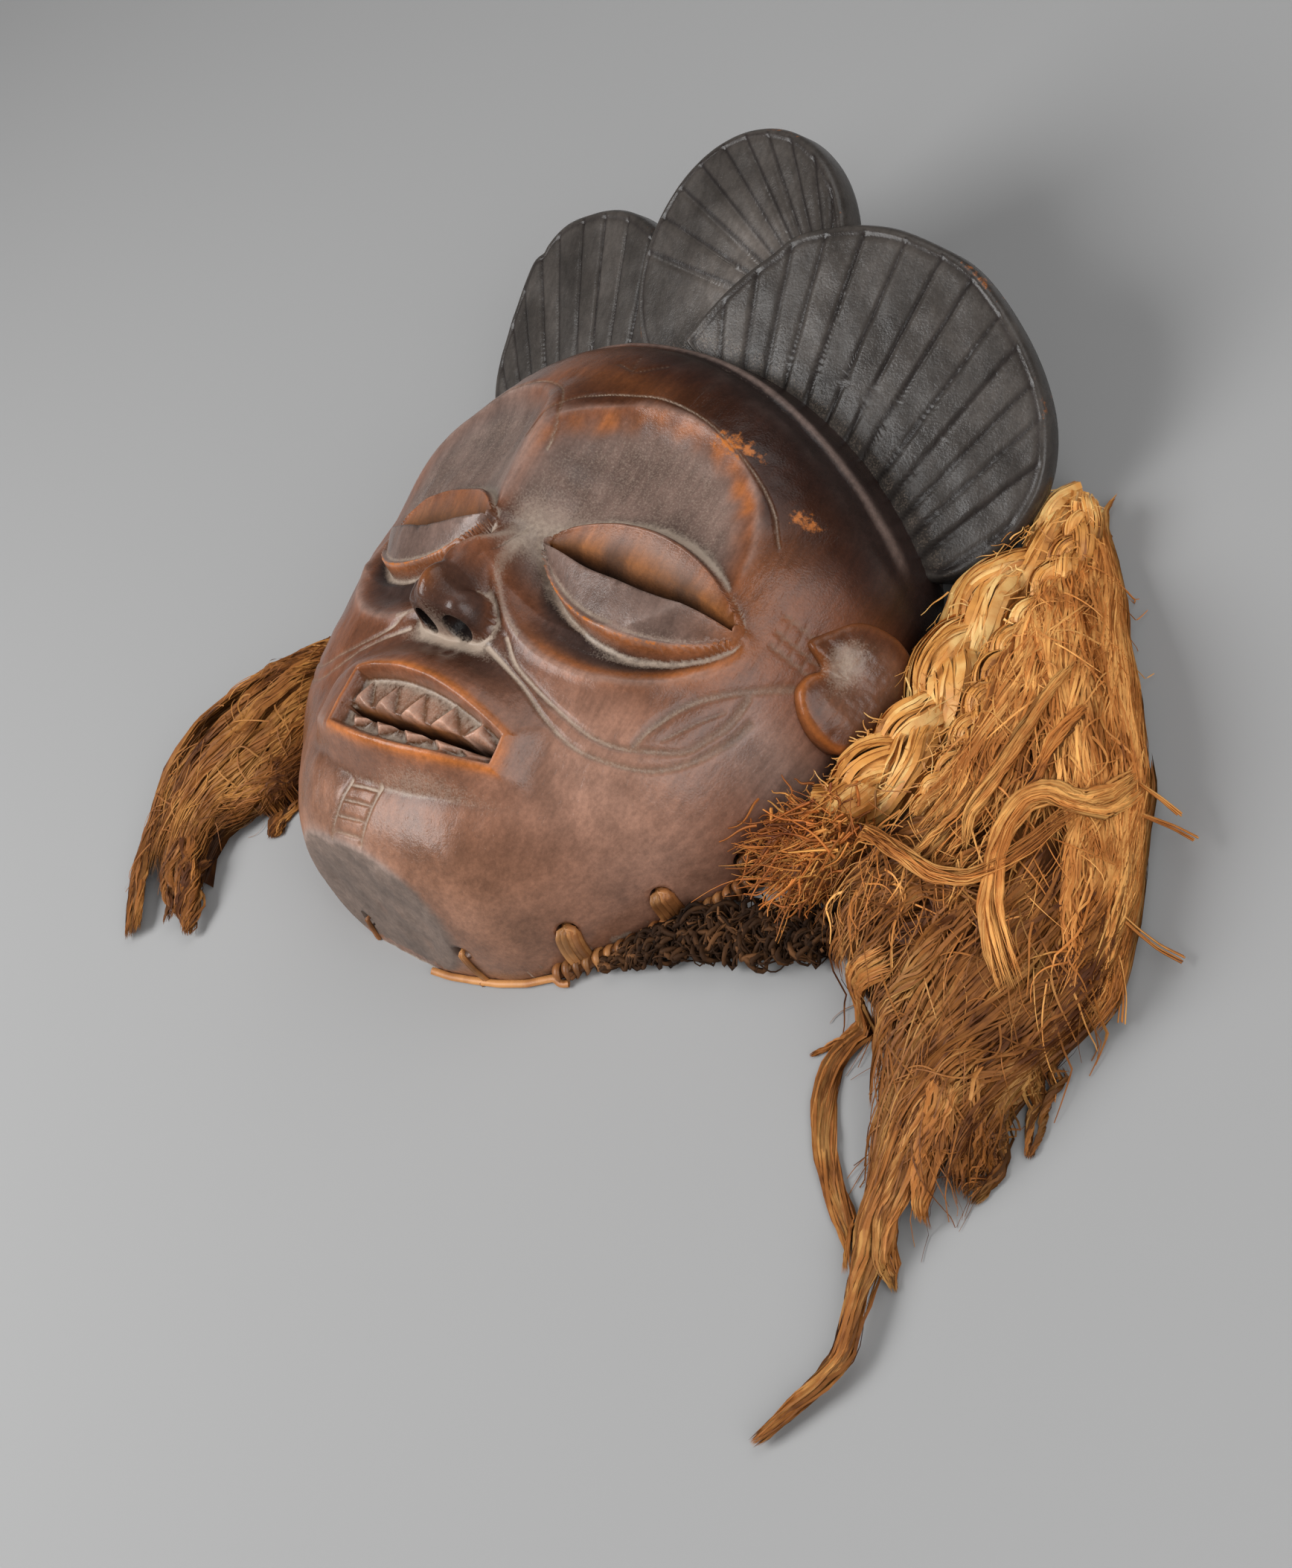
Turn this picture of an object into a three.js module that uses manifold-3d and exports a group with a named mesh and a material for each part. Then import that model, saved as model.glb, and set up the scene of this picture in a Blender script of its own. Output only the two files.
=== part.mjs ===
// Carved wooden face mask with a fan-shaped coiffure, plaited fibre band and raffia hair.
// The mask lies on its back rim: +Z comes out of the face, +Y runs from the chin to the crest,
// +X is the mask's own left. Millimetres. The origin is on the surface that it lies on.

import * as THREE from 'three';
import { mergeVertices } from 'three/addons/utils/BufferGeometryUtils.js';
import Module from 'manifold-3d';

const wasm = await Module();
wasm.setup();

// Driving dimensions.

const ORIGIN_X = 29.5;               // midline of the face to the middle of the whole object
const ORIGIN_Y = 103.5;              // chin rim to the middle of the whole object

const FACE_MIDDLE_Y = 108;
const FACE_LEAN = 0.10;              // the lower face leans to the mask's right
const FACE_LEAN_END = 190;
const FACE_LEAN_RUN = 170;
const RIM_HALF = [
  [0, 2], [20, 4], [37, 8], [49, 16], [67, 34], [86, 56],
  [94, 88], [97, 120], [97, 155], [79, 178], [44, 199], [0, 206],
];
const DOME_ROUND_IN = 2.37;
const DOME_ROUND_OUT = 2.27;
const PROFILE = [
  [-10, 92], [20, 82], [45, 73], [70, 68], [95, 69],
  [120, 73], [140, 74], [160, 77], [180, 88], [200, 102],
];
const PROFILE_BLEND = [-9, -3, 3, 9];
const POLE_Y = 78;                   // the surface mesh fans out from here, above the mouth
const SPOKES = 74;
const RINGS = 26;

const RIM_WALL = 8;
const HOLLOW_DROP = 19;
const HOLLOW_SPOKES = SPOKES / 2;
const HOLLOW_RINGS = 9;

const BROW_RIDGE = { x: -8, y: 142, wide: 15, tall: 24, height: 9 };
const SOCKET = { x: 37, shift: -5, y: 130, long: 42, tall: 36, turn: -12, depth: 9.5 };
const NEAR_EYE = { x: 46, y: 114, half: 33.5, up: 15.8, low: 18.6, tilt: -0.06 };
const FAR_EYE = { x: -35.5, y: 115, half: 32.5, up: 12.8, low: 17, tilt: 0.03 };
const EYE_BULGE = 10;
const EYE_RIM = 2;
const EYE_HOLLOW = { near: 44, far: -34, y: 114.5, long: 37.5, tall: 32.5, depth: 4.6, lip: 1 };
const NOSE = { x: 1.2, bridgeTop: 120, bridgeEnd: 92, bridgeHeight: 13.5, base: 84 };
const NOSE_TIP = { y: 88, z: 70.5, wide: 8.6, long: 8.8, height: 16 };
const NOSE_WING = { x: 7.6, y: 86, z: 68, wide: 6.6, long: 7.4, height: 12.5 };
const MOUTH = { x: 5, half: 37, far: 24, height: 10, drop: 5, recess: 3.5, ring: 1.4 };
const CHIN_FACET = { y: 2.6, slope: 0.27 };

const SLIT_WIDE = 2.6;
const MOUTH_SLOT = 2.4;
const TOOTH_WIDE = 9.5;
const UPPER_TEETH = [-12, -0.5, 11, 22.5, 33];
const LOWER_TEETH = [-8, 3.5, 15, 26, 34];

const HOLES = [
  [-26, 5.1, 9.2], [23.8, 8, 16], [54.4, 27.4, 16.2], [74.2, 48.5, 13], [88.3, 68.3, 7.7],
  [-54.4, 18.4, 16.2], [-74.2, 36, 13],
];
const HOLE_RADIUS = 3;
const CORD_RADIUS = 1.3;

const LOBE_THICK = 9;
const LOBE_SLOPE = 0.5;
const LOBE_LINE_Y = 197;
const SIDE_LOBE = { x: 60, y: 186, radius: 57, z: 50, fall: 0.25 };
const FAR_LOBE = { x: 57, y: 186, radius: 54.5, z: 38, fall: 0.1 };
const CENTRE_LOBE = { x: 0, y: 224, half: 43, tall: 41, z: 38 };
const FAN_LINES = 11;
const FAN_DEPTH = 1.6;
const FAN_WIDE = 2.6;

const EAR_OUTLINE = [
  [94.9, 130, 33.9], [97.5, 138.4, 27.5], [101.6, 141.9, 17.4], [104.6, 140.1, 8.5],
  [106, 134.5, 4], [106.3, 124.6, 3], [105.8, 115.7, 4.5], [103.8, 107.6, 10.3],
  [100.7, 105.2, 18.8], [97.8, 107, 26], [95.8, 111.6, 31.6], [97, 121.5, 30.3], [93.8, 124, 36.8],
];
const EAR_THICK = 11;
const EAR_DROP = 2;                  // the far ear sits lower

const BLACK_WOOD = 0x4a4340;
const GOLD_FIBRE = 0xc98a4a;
const RAFFIA = 0x9a5c2e;
const DARK_RAFFIA = 0x70451f;
const DARK_CORD = 0x3a2818;
const STITCH_CORD = 0x7a4a2a;

const GAP = 0.4;

// Helpers.

const clamp = (v, a, b) => Math.min(Math.max(v, a), b);

function smooth(a, b, v) {
  const t = clamp((v - a) / (b - a), 0, 1);
  return t * t * (3 - 2 * t);
}

const bell = (v, w) => Math.exp(-((v / w) ** 2));

function along(table, v) {
  const last = table.length - 1;
  if (v <= table[0][0]) return table[0][1];
  if (v >= table[last][0]) return table[last][1];
  const i = table.findIndex((row) => row[0] > v) - 1;
  const [x0, y0] = table[i];
  const [x1, y1] = table[i + 1];
  return y0 + ((y1 - y0) * (v - x0)) / (x1 - x0);
}

function meshFrom(points, faces) {
  const geometry = new THREE.BufferGeometry();
  geometry.setAttribute('position', new THREE.Float32BufferAttribute(points.flat(), 3));
  geometry.setIndex(faces.flat());
  return geometry;
}

// Turns a closed mesh so that its faces point out.
function facingOut(geometry) {
  const corners = [new THREE.Vector3(), new THREE.Vector3(), new THREE.Vector3()];
  const index = geometry.index.array;
  const position = geometry.attributes.position;
  let volume = 0;
  for (let i = 0; i < index.length; i += 3) {
    corners.forEach((corner, k) => corner.fromBufferAttribute(position, index[i + k]));
    volume += corners[0].dot(corners[1].clone().cross(corners[2]));
  }
  if (volume < 0) {
    for (let i = 0; i < index.length; i += 3) [index[i], index[i + 1]] = [index[i + 1], index[i]];
  }
  return geometry;
}

function solid(geometry) {
  const bare = geometry.clone();
  bare.deleteAttribute('normal');
  bare.deleteAttribute('uv');
  const merged = facingOut(mergeVertices(bare, 1e-4));
  const mesh = new wasm.Mesh({
    numProp: 3,
    vertProperties: new Float32Array(merged.attributes.position.array),
    triVerts: new Uint32Array(merged.index.array),
  });
  return new wasm.Manifold(mesh);
}

function geometryOf(body) {
  const mesh = body.getMesh();
  const geometry = new THREE.BufferGeometry();
  geometry.setAttribute('position', new THREE.BufferAttribute(mesh.vertProperties, 3));
  geometry.setIndex(new THREE.BufferAttribute(mesh.triVerts, 1));
  geometry.computeVertexNormals();
  return geometry;
}

// A closed body through sections that all have the same number of points, counter-clockwise
// as seen from the far end of the run.
function loft(sections) {
  const count = sections[0].length;
  const points = sections.flat();
  const faces = [];
  for (let i = 0; i + 1 < sections.length; i += 1) {
    for (let j = 0; j < count; j += 1) {
      const k = (j + 1) % count;
      const a = i * count + j;
      const b = i * count + k;
      faces.push([a, b, b + count], [a, b + count, a + count]);
    }
  }
  const end = (sections.length - 1) * count;
  for (let j = 1; j + 1 < count; j += 1) {
    faces.push([0, j + 1, j], [end, end + j, end + j + 1]);
  }
  return meshFrom(points, faces);
}

// The carved face.

const leanY = (x, y) => y - FACE_LEAN * clamp((FACE_LEAN_END - y) / FACE_LEAN_RUN, 0, 1) * x;

const rimKnots = (() => {
  const half = RIM_HALF.map(([x, y]) => [
    Math.atan2(y - FACE_MIDDLE_Y, x),
    Math.hypot(x, y - FACE_MIDDLE_Y),
  ]);
  const mirrored = half.slice(1, -1).reverse().map(([a, r]) => [Math.PI - a, r]);
  const ring = half.concat(mirrored);
  const turn = 2 * Math.PI;
  const before = ring.slice(-2).map(([a, r]) => [a - turn, r]);
  const after = ring.slice(0, 3).map(([a, r]) => [a + turn, r]);
  return before.concat(ring, after);
})();

function rimRadius(angle) {
  const turn = 2 * Math.PI;
  const a = ((((angle + Math.PI / 2) % turn) + turn) % turn) - Math.PI / 2;
  let i = 1;
  while (i < rimKnots.length - 3 && rimKnots[i + 1][0] <= a) i += 1;
  const [p, q, r, s] = rimKnots.slice(i - 1, i + 3);
  const span = r[0] - q[0];
  const t = (a - q[0]) / span;
  const m0 = ((r[1] - p[1]) / (r[0] - p[0])) * span;
  const m1 = ((s[1] - q[1]) / (s[0] - q[0])) * span;
  return (2 * t ** 3 - 3 * t ** 2 + 1) * q[1] + (t ** 3 - 2 * t ** 2 + t) * m0
    + (-2 * t ** 3 + 3 * t ** 2) * r[1] + (t ** 3 - t ** 2) * m1;
}

function profile(y) {
  const sum = PROFILE_BLEND.reduce((total, step) => total + along(PROFILE, y + step), 0);
  return sum / PROFILE_BLEND.length;
}

function dome(x, y, inset = 0, drop = 0) {
  const v = leanY(x, y) - FACE_MIDDLE_Y;
  const edge = rimRadius(Math.atan2(v, x)) - inset;
  const s = clamp(Math.hypot(x, v) / edge, 0, 1);
  const height = profile(v + FACE_MIDDLE_Y) - drop;
  return height * Math.max(1 - s ** DOME_ROUND_IN, 0) ** (1 / DOME_ROUND_OUT);
}

function socketDepth(x, y) {
  const u = Math.abs(x - SOCKET.shift) - SOCKET.x;
  const v = y - SOCKET.y;
  const turn = THREE.MathUtils.degToRad(SOCKET.turn);
  const across = u * Math.cos(turn) + v * Math.sin(turn);
  const up = -u * Math.sin(turn) + v * Math.cos(turn);
  const e = Math.hypot(across / SOCKET.long, up / SOCKET.tall);
  return SOCKET.depth * clamp(1 - e ** 2.6, 0, 1);
}

const eyeAt = (x) => (x > (NEAR_EYE.x + FAR_EYE.x) / 2 ? NEAR_EYE : FAR_EYE);

// Where a point lies in its eye: along it, above its axis, and how far out to its edge.
function eyePlace(x, y) {
  const eye = eyeAt(x);
  const u = ((x - eye.x) / eye.half) * Math.sign(eye.x);
  const v = y - eye.y - eye.tilt * (x - eye.x);
  const room = Math.max(1 - u * u, 0);
  const half = (v > 0 ? eye.up : eye.low * (1 + 0.16 * u)) * room ** 0.72 + 1e-6;
  return { u, v, room, w: Math.abs(v) / half };
}

function eyeHeight(x, y) {
  const { v, room, w } = eyePlace(x, y);
  const roundLid = Math.sqrt(clamp(1 - w ** 2.2, 0, 1));
  const hollowLid = clamp(1 - w ** 1.5, 0, 1) ** 0.85;
  const body = w < 1 ? EYE_BULGE * room ** 0.45 * (v > 0 ? roundLid : hollowLid) : 0;
  const rim = EYE_RIM * (v < 0 ? 1 : 0.6) * bell(w - 0.99, 0.17) * smooth(0, 0.2, room);
  return body + rim;
}

// The crescent hollow under an eye, with its outer lip.
function eyeHollow(x, y) {
  const { v, w } = eyePlace(x, y);
  const away = x > 5 ? x - EYE_HOLLOW.near : x - EYE_HOLLOW.far;
  const reach = Math.hypot(away / EYE_HOLLOW.long, (y - EYE_HOLLOW.y) / EYE_HOLLOW.tall);
  const below = smooth(3, -6, v);
  const depth = EYE_HOLLOW.depth * smooth(1, 0.68, reach) * smooth(0.98, 1.3, w) * below;
  return EYE_HOLLOW.lip * bell(reach - 1.02, 0.09) * below - depth;
}

// The bridge of the nose; its tip and wings are solids of their own.
function bridgeHeight(x, y) {
  const a = Math.abs(x - NOSE.x);
  const wide = 4.8 + 2.6 * smooth(114, 92, y);
  const height = NOSE.bridgeHeight * smooth(NOSE.bridgeTop, NOSE.bridgeEnd, y);
  return height * Math.exp(-((a / wide) ** 2.2)) * smooth(NOSE.base, NOSE.base + 6, y);
}

const lipTop = (x) => 65 - 7.5 * (x / MOUTH.half) ** 2;
const lipBottom = (x) => 40.5 + 6 * (x / MOUTH.half) ** 2;
const slotLine = (x) => 49.5 + 2.5 * (x / MOUTH.half) ** 2;

function mouthHeight(faceX, y) {
  const x = faceX - MOUTH.x;
  const a = Math.abs(x) / MOUTH.half;
  const height = MOUTH.height - MOUTH.drop * clamp(a, 0, 1.3) ** 2;
  const upper = smooth(80, 65.5, y + 7.5 * clamp(a, 0, 1) ** 2) ** 1.2;
  const lower = smooth(32.5, 41, y - lipBottom(x) + 40.5);
  const side = smooth(MOUTH.half + 9, MOUTH.half - 0.5, Math.abs(x));
  const inside = Math.min(lipTop(x) - y, y - lipBottom(x), MOUTH.half - x, x + MOUTH.far);
  const ring = MOUTH.ring * bell(inside - 1, 1.6) * side;
  return height * upper * lower * side - MOUTH.recess * smooth(1, 3.5, inside) + ring;
}

function faceHeight(x, y) {
  const v = leanY(x, y);
  const ridge = BROW_RIDGE.height
    * bell(x - BROW_RIDGE.x, BROW_RIDGE.wide) * bell(v - BROW_RIDGE.y, BROW_RIDGE.tall);
  const height = dome(x, y) + ridge - socketDepth(x, v)
    + eyeHeight(x, v) + eyeHollow(x, v) + bridgeHeight(x, v) + mouthHeight(x, v);
  const facet = (y - CHIN_FACET.y) / CHIN_FACET.slope;
  return Math.max(Math.min(height, facet), 0);
}

function rimDistance(angle) {
  let low = 20;
  let high = 160;
  for (let i = 0; i < 40; i += 1) {
    const middle = (low + high) / 2;
    const x = middle * Math.cos(angle);
    const v = leanY(x, POLE_Y + middle * Math.sin(angle)) - FACE_MIDDLE_Y;
    if (Math.hypot(x, v) < rimRadius(Math.atan2(v, x))) low = middle;
    else high = middle;
  }
  return low;
}

function faceShell() {
  const points = [[0, POLE_Y, faceHeight(0, POLE_Y)]];
  const faces = [];
  const ringStart = [];
  const addRing = (count, inset, share, height) => {
    ringStart.push(points.length);
    for (let i = 0; i < count; i += 1) {
      const angle = (2 * Math.PI * i) / count;
      const r = (rimDistance(angle) - inset) * share;
      const x = r * Math.cos(angle);
      const y = POLE_Y + r * Math.sin(angle);
      points.push([x, y, height(x, y)]);
    }
  };
  for (let ring = 1; ring <= RINGS; ring += 1) {
    const share = Math.sin((ring / RINGS) * (Math.PI / 2)) ** 1.1;
    addRing(SPOKES, 0, share, ring === RINGS ? () => 0 : faceHeight);
  }
  const hollow = (x, y) => dome(x, y, RIM_WALL, HOLLOW_DROP);
  for (let ring = HOLLOW_RINGS; ring >= 1; ring -= 1) {
    const share = Math.sin((ring / HOLLOW_RINGS) * (Math.PI / 2)) ** 1.1;
    addRing(HOLLOW_SPOKES, RIM_WALL, share, ring === HOLLOW_RINGS ? () => 0 : hollow);
  }
  const deepest = points.length;
  points.push([0, POLE_Y, hollow(0, POLE_Y)]);

  const band = (start, next, count) => {
    for (let i = 0; i < count; i += 1) {
      const k = (i + 1) % count;
      faces.push([start + i, next + i, next + k], [start + i, next + k, start + k]);
    }
  };
  for (let i = 0; i < SPOKES; i += 1) faces.push([0, 1 + i, 1 + ((i + 1) % SPOKES)]);
  for (let ring = 0; ring + 1 < RINGS; ring += 1) {
    band(ringStart[ring], ringStart[ring + 1], SPOKES);
  }
  const rim = ringStart[RINGS - 1];
  const mouthOfHollow = ringStart[RINGS];
  for (let i = 0; i < HOLLOW_SPOKES; i += 1) {
    const a = rim + 2 * i;
    const b = rim + 2 * i + 1;
    const c = rim + ((2 * i + 2) % SPOKES);
    const d = mouthOfHollow + i;
    const e = mouthOfHollow + ((i + 1) % HOLLOW_SPOKES);
    faces.push([a, d, b], [b, d, e], [b, e, c]);
  }
  for (let ring = RINGS; ring + 1 < RINGS + HOLLOW_RINGS; ring += 1) {
    band(ringStart[ring], ringStart[ring + 1], HOLLOW_SPOKES);
  }
  const lastRing = ringStart[ringStart.length - 1];
  for (let i = 0; i < HOLLOW_SPOKES; i += 1) {
    faces.push([lastRing + i, deepest, lastRing + ((i + 1) % HOLLOW_SPOKES)]);
  }
  return meshFrom(points, faces);
}

// Cuts in the face.

// The slit of an eye: an almond at the surface whose upper wall slants in to a narrow slot.
function eyeCut(side) {
  const sections = [];
  const steps = 8;
  for (let i = 0; i <= steps; i += 1) {
    const u = -0.9 + (1.8 * i) / steps;
    const eye = side > 0 ? NEAR_EYE : FAR_EYE;
    const x = eye.x + side * u * eye.half;
    const room = 1 - u * u;
    const axis = eye.y + eye.tilt * (x - eye.x);
    const low = axis - 0.5 - 4 * room;
    const lid = axis + eye.up * 0.82 * room ** 0.72;
    const toFace = (y) => y + FACE_LEAN * 0.44 * x;
    const surface = faceHeight(x, toFace(low));
    const thin = Math.max(SLIT_WIDE * Math.sqrt(room), 0.8);
    const section = [
      [low, surface - 32], [low + thin, surface - 32], [low + thin, surface - 11],
      [Math.max(lid, low + thin + 0.4), surface - 1], [Math.max(lid, low + thin + 0.4), 95],
      [low, 95],
    ];
    sections.push(section.map(([y, z]) => [x, toFace(y), z]));
  }
  return loft(sections);
}

function mouthCut() {
  const sections = [];
  const steps = 7;
  for (let i = 0; i <= steps; i += 1) {
    const x = -MOUTH.far + 4 + ((MOUTH.half + MOUTH.far - 8) * i) / steps;
    const faceX = x + MOUTH.x;
    const y = slotLine(x) + 0.083 * faceX - MOUTH_SLOT / 2;
    sections.push([
      [faceX, y, 30], [faceX, y + MOUTH_SLOT, 30], [faceX, y + MOUTH_SLOT, 95], [faceX, y, 95],
    ]);
  }
  return loft(sections);
}

function ellipsoid(x, y, z, wide, long, height) {
  const geometry = new THREE.SphereGeometry(1, 12, 8);
  geometry.rotateX(Math.PI / 2);
  geometry.scale(wide, long, height);
  geometry.translate(x, y, z);
  return geometry;
}

function noseSolids() {
  const { y, z, wide, long, height } = NOSE_TIP;
  const wing = (side) => ellipsoid(NOSE.x + side * NOSE_WING.x, NOSE_WING.y, NOSE_WING.z,
    NOSE_WING.wide, NOSE_WING.long, NOSE_WING.height);
  return [ellipsoid(NOSE.x, y, z, wide, long, height), wing(1), wing(-1)];
}

function nostril(side) {
  const geometry = new THREE.SphereGeometry(1, 10, 7);
  geometry.scale(side > 0 ? 4.2 : 3.8, 7, 4.6);
  geometry.rotateX(-0.12);
  geometry.translate(NOSE.x + side * 6.8, 80.5, 71.5);
  return geometry;
}

// One pointed tooth, with its base on the slot and its point away from it.
function tooth(x, up) {
  const faceX = x + MOUTH.x;
  const base = slotLine(x) + 0.083 * faceX + (up * MOUTH_SLOT) / 2;
  const tall = up > 0 ? 7.5 : 5.5;
  const floor = faceHeight(faceX, base + up * 2) - 2.5;
  const half = TOOTH_WIDE / 2;
  const top = floor + 5.5;
  const back = [
    [faceX - half, base, floor], [faceX + half, base, floor], [faceX, base + up * tall, floor],
  ];
  const front = [
    [faceX - half, base, floor + 3.2], [faceX + half, base, floor + 3.2],
    [faceX, base + up * tall, floor + 3.2],
  ];
  const peak = [faceX, base + up * 1.8, top];
  const points = back.concat(front, [peak]);
  const faces = [
    [0, 2, 1], [0, 1, 4], [0, 4, 3], [1, 2, 5], [1, 5, 4], [2, 0, 3], [2, 3, 5],
    [3, 4, 6], [4, 5, 6], [5, 3, 6],
  ];
  const turned = up > 0 ? faces : faces.map(([a, b, c]) => [a, c, b]);
  return meshFrom(points, turned);
}

function outwardAt(x, y) {
  const step = 1.5;
  const dx = (dome(x + step, y) - dome(x - step, y)) / (2 * step);
  const dy = (dome(x, y + step) - dome(x, y - step)) / (2 * step);
  const normal = new THREE.Vector3(-dx, -dy, 1).normalize();
  normal.z *= 0.25;
  return normal.normalize();
}

function stitchHole([x, y, z]) {
  const outward = outwardAt(x * 0.97, y + 2);
  const geometry = new THREE.CylinderGeometry(HOLE_RADIUS, HOLE_RADIUS, 34, 8);
  const turn = new THREE.Quaternion().setFromUnitVectors(new THREE.Vector3(0, 1, 0), outward);
  geometry.applyQuaternion(turn);
  geometry.translate(x, y, z);
  return geometry;
}

// Coiffure and ears.

// A plate between two outlines; flat holds the same outline in a plane, for the end faces.
function plateBetween(front, back, flat) {
  const caps = THREE.ShapeUtils.triangulateShape(flat, []);
  const count = front.length;
  const faces = [];
  for (const [a, b, c] of caps) {
    faces.push([a, b, c], [a + count, c + count, b + count]);
  }
  for (let i = 0; i < count; i += 1) {
    const k = (i + 1) % count;
    faces.push([i, i + count, k + count], [i, k + count, k]);
  }
  return meshFrom(front.concat(back), faces);
}

function slab(outline, height, thick, lean) {
  const flat = outline.map(([x, y]) => new THREE.Vector2(x, y));
  if (THREE.ShapeUtils.isClockWise(flat)) {
    flat.reverse();
  }
  const normal = new THREE.Vector3(...lean).normalize();
  const top = flat.map(({ x, y }) => [x, y, height(x, y)]);
  const bottom = top.map(([x, y, z]) => [
    x - normal.x * thick, y - normal.y * thick, Math.max(z - normal.z * thick, 1),
  ]);
  return plateBetween(top, bottom, flat);
}

function groove(from, to, height) {
  const direction = new THREE.Vector2(to[0] - from[0], to[1] - from[1]).normalize();
  const sideways = new THREE.Vector2(-direction.y, direction.x).multiplyScalar(FAN_WIDE / 2);
  const sections = [from, to].map(([x, y]) => {
    const z = height(x, y);
    return [
      [x + sideways.x, y + sideways.y, z + 1], [x, y, z - FAN_DEPTH],
      [x - sideways.x, y - sideways.y, z + 1],
    ];
  });
  return loft(sections);
}

function sideLobe(side) {
  const lobe = side > 0 ? SIDE_LOBE : FAR_LOBE;
  const height = (x, y) => lobe.z - lobe.fall * Math.abs(x) + LOBE_SLOPE * (y - LOBE_LINE_Y);
  const outline = [];
  const grooves = [];
  const centre = [side * lobe.x, lobe.y];
  const start = -0.42;
  const end = 3.0;
  for (let i = 0; i <= 22; i += 1) {
    const angle = start + ((end - start) * i) / 22;
    outline.push([
      centre[0] + side * lobe.radius * Math.cos(angle),
      centre[1] + lobe.radius * Math.sin(angle),
    ]);
  }
  outline.push([side * 12, 180], [side * 84, 160]);
  for (let i = 0; i < FAN_LINES; i += 1) {
    const angle = -0.2 + (2.9 * i) / (FAN_LINES - 1);
    const direction = [side * Math.cos(angle), Math.sin(angle)];
    const far = lobe.radius - 4;
    grooves.push(groove(
      [centre[0] + direction[0] * 24, centre[1] + direction[1] * 24 - 4],
      [centre[0] + direction[0] * far, centre[1] + direction[1] * far],
      height,
    ));
  }
  return { body: slab(outline, height, LOBE_THICK, [side * lobe.fall, -0.5, 1]), grooves };
}

function centreLobe() {
  const height = (x, y) => CENTRE_LOBE.z + LOBE_SLOPE * (y - LOBE_LINE_Y);
  const outline = [];
  const grooves = [];
  for (let i = 0; i <= 16; i += 1) {
    const angle = -0.5 + ((Math.PI + 1) * i) / 16;
    outline.push([
      CENTRE_LOBE.half * Math.cos(angle), CENTRE_LOBE.y + CENTRE_LOBE.tall * Math.sin(angle),
    ]);
  }
  outline.push([-26, 188], [26, 188]);
  for (let i = 0; i < 7; i += 1) {
    const angle = 0.75 + (1.64 * i) / 6;
    const direction = [Math.cos(angle), Math.sin(angle)];
    grooves.push(groove(
      [direction[0] * 14, CENTRE_LOBE.y + direction[1] * 16],
      [direction[0] * (CENTRE_LOBE.half - 4), CENTRE_LOBE.y + direction[1] * (CENTRE_LOBE.tall - 4)],
      height,
    ));
  }
  return { body: slab(outline, height, LOBE_THICK, [0, -0.5, 1]), grooves };
}

function ear(side) {
  const flat = EAR_OUTLINE.map(([, y, z]) => new THREE.Vector2(side * y, z));
  const outline = EAR_OUTLINE.slice();
  if (THREE.ShapeUtils.isClockWise(flat)) {
    flat.reverse();
    outline.reverse();
  }
  const drop = side < 0 ? EAR_DROP : 0;
  const outer = outline.map(([x, y, z]) => [side * x, y - drop, z]);
  const inner = outer.map(([x, y, z]) => [x - side * EAR_THICK, y, Math.max(z - 4, 1)]);
  return plateBetween(outer, inner, flat);
}

function maskGeometry() {
  let body = solid(faceShell());
  const hollow = solid(hollowBlock());
  for (const side of [1, -1]) {
    const lobe = sideLobe(side);
    let plate = solid(lobe.body);
    for (const line of lobe.grooves) plate = plate.subtract(solid(line));
    body = body.add(plate.subtract(hollow)).add(solid(ear(side)).subtract(hollow));
  }
  const centre = centreLobe();
  let plate = solid(centre.body);
  for (const line of centre.grooves) plate = plate.subtract(solid(line));
  body = body.add(plate.subtract(hollow));
  for (const x of UPPER_TEETH) body = body.add(solid(tooth(x - MOUTH.x, 1)));
  for (const x of LOWER_TEETH) body = body.add(solid(tooth(x - MOUTH.x, -1)));
  for (const bulb of noseSolids()) body = body.add(solid(bulb));
  for (const side of [1, -1]) {
    body = body.subtract(solid(eyeCut(side))).subtract(solid(nostril(side)));
  }
  body = body.subtract(solid(mouthCut()));
  for (const hole of HOLES) body = body.subtract(solid(stitchHole(hole)));
  return geometryOf(body);
}

// The space behind the face, used to trim whatever is joined to the shell from outside.
function hollowBlock() {
  const points = [[0, POLE_Y, dome(0, POLE_Y, RIM_WALL, HOLLOW_DROP) + 0.2]];
  const faces = [];
  const rings = HOLLOW_RINGS;
  for (let ring = 1; ring <= rings + 1; ring += 1) {
    const share = Math.sin((Math.min(ring, rings) / rings) * (Math.PI / 2)) ** 1.1;
    for (let i = 0; i < HOLLOW_SPOKES; i += 1) {
      const angle = (2 * Math.PI * i) / HOLLOW_SPOKES;
      const r = (rimDistance(angle) - RIM_WALL) * share + 0.2;
      const x = r * Math.cos(angle);
      const y = POLE_Y + r * Math.sin(angle);
      const inside = ring < rings ? dome(x, y, RIM_WALL, HOLLOW_DROP) : 0.01;
      points.push([x, y, ring > rings ? -20 : inside]);
    }
  }
  const bottom = points.length;
  points.push([0, POLE_Y, -20]);
  for (let i = 0; i < HOLLOW_SPOKES; i += 1) {
    const k = (i + 1) % HOLLOW_SPOKES;
    faces.push([0, 1 + i, 1 + k]);
    for (let ring = 0; ring < rings; ring += 1) {
      const a = 1 + ring * HOLLOW_SPOKES;
      const b = a + HOLLOW_SPOKES;
      faces.push([a + i, b + i, b + k], [a + i, b + k, a + k]);
    }
    const last = 1 + rings * HOLLOW_SPOKES;
    faces.push([last + i, bottom, last + k]);
  }
  return meshFrom(points, faces);
}

// Fibre, hair and cord.

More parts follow.
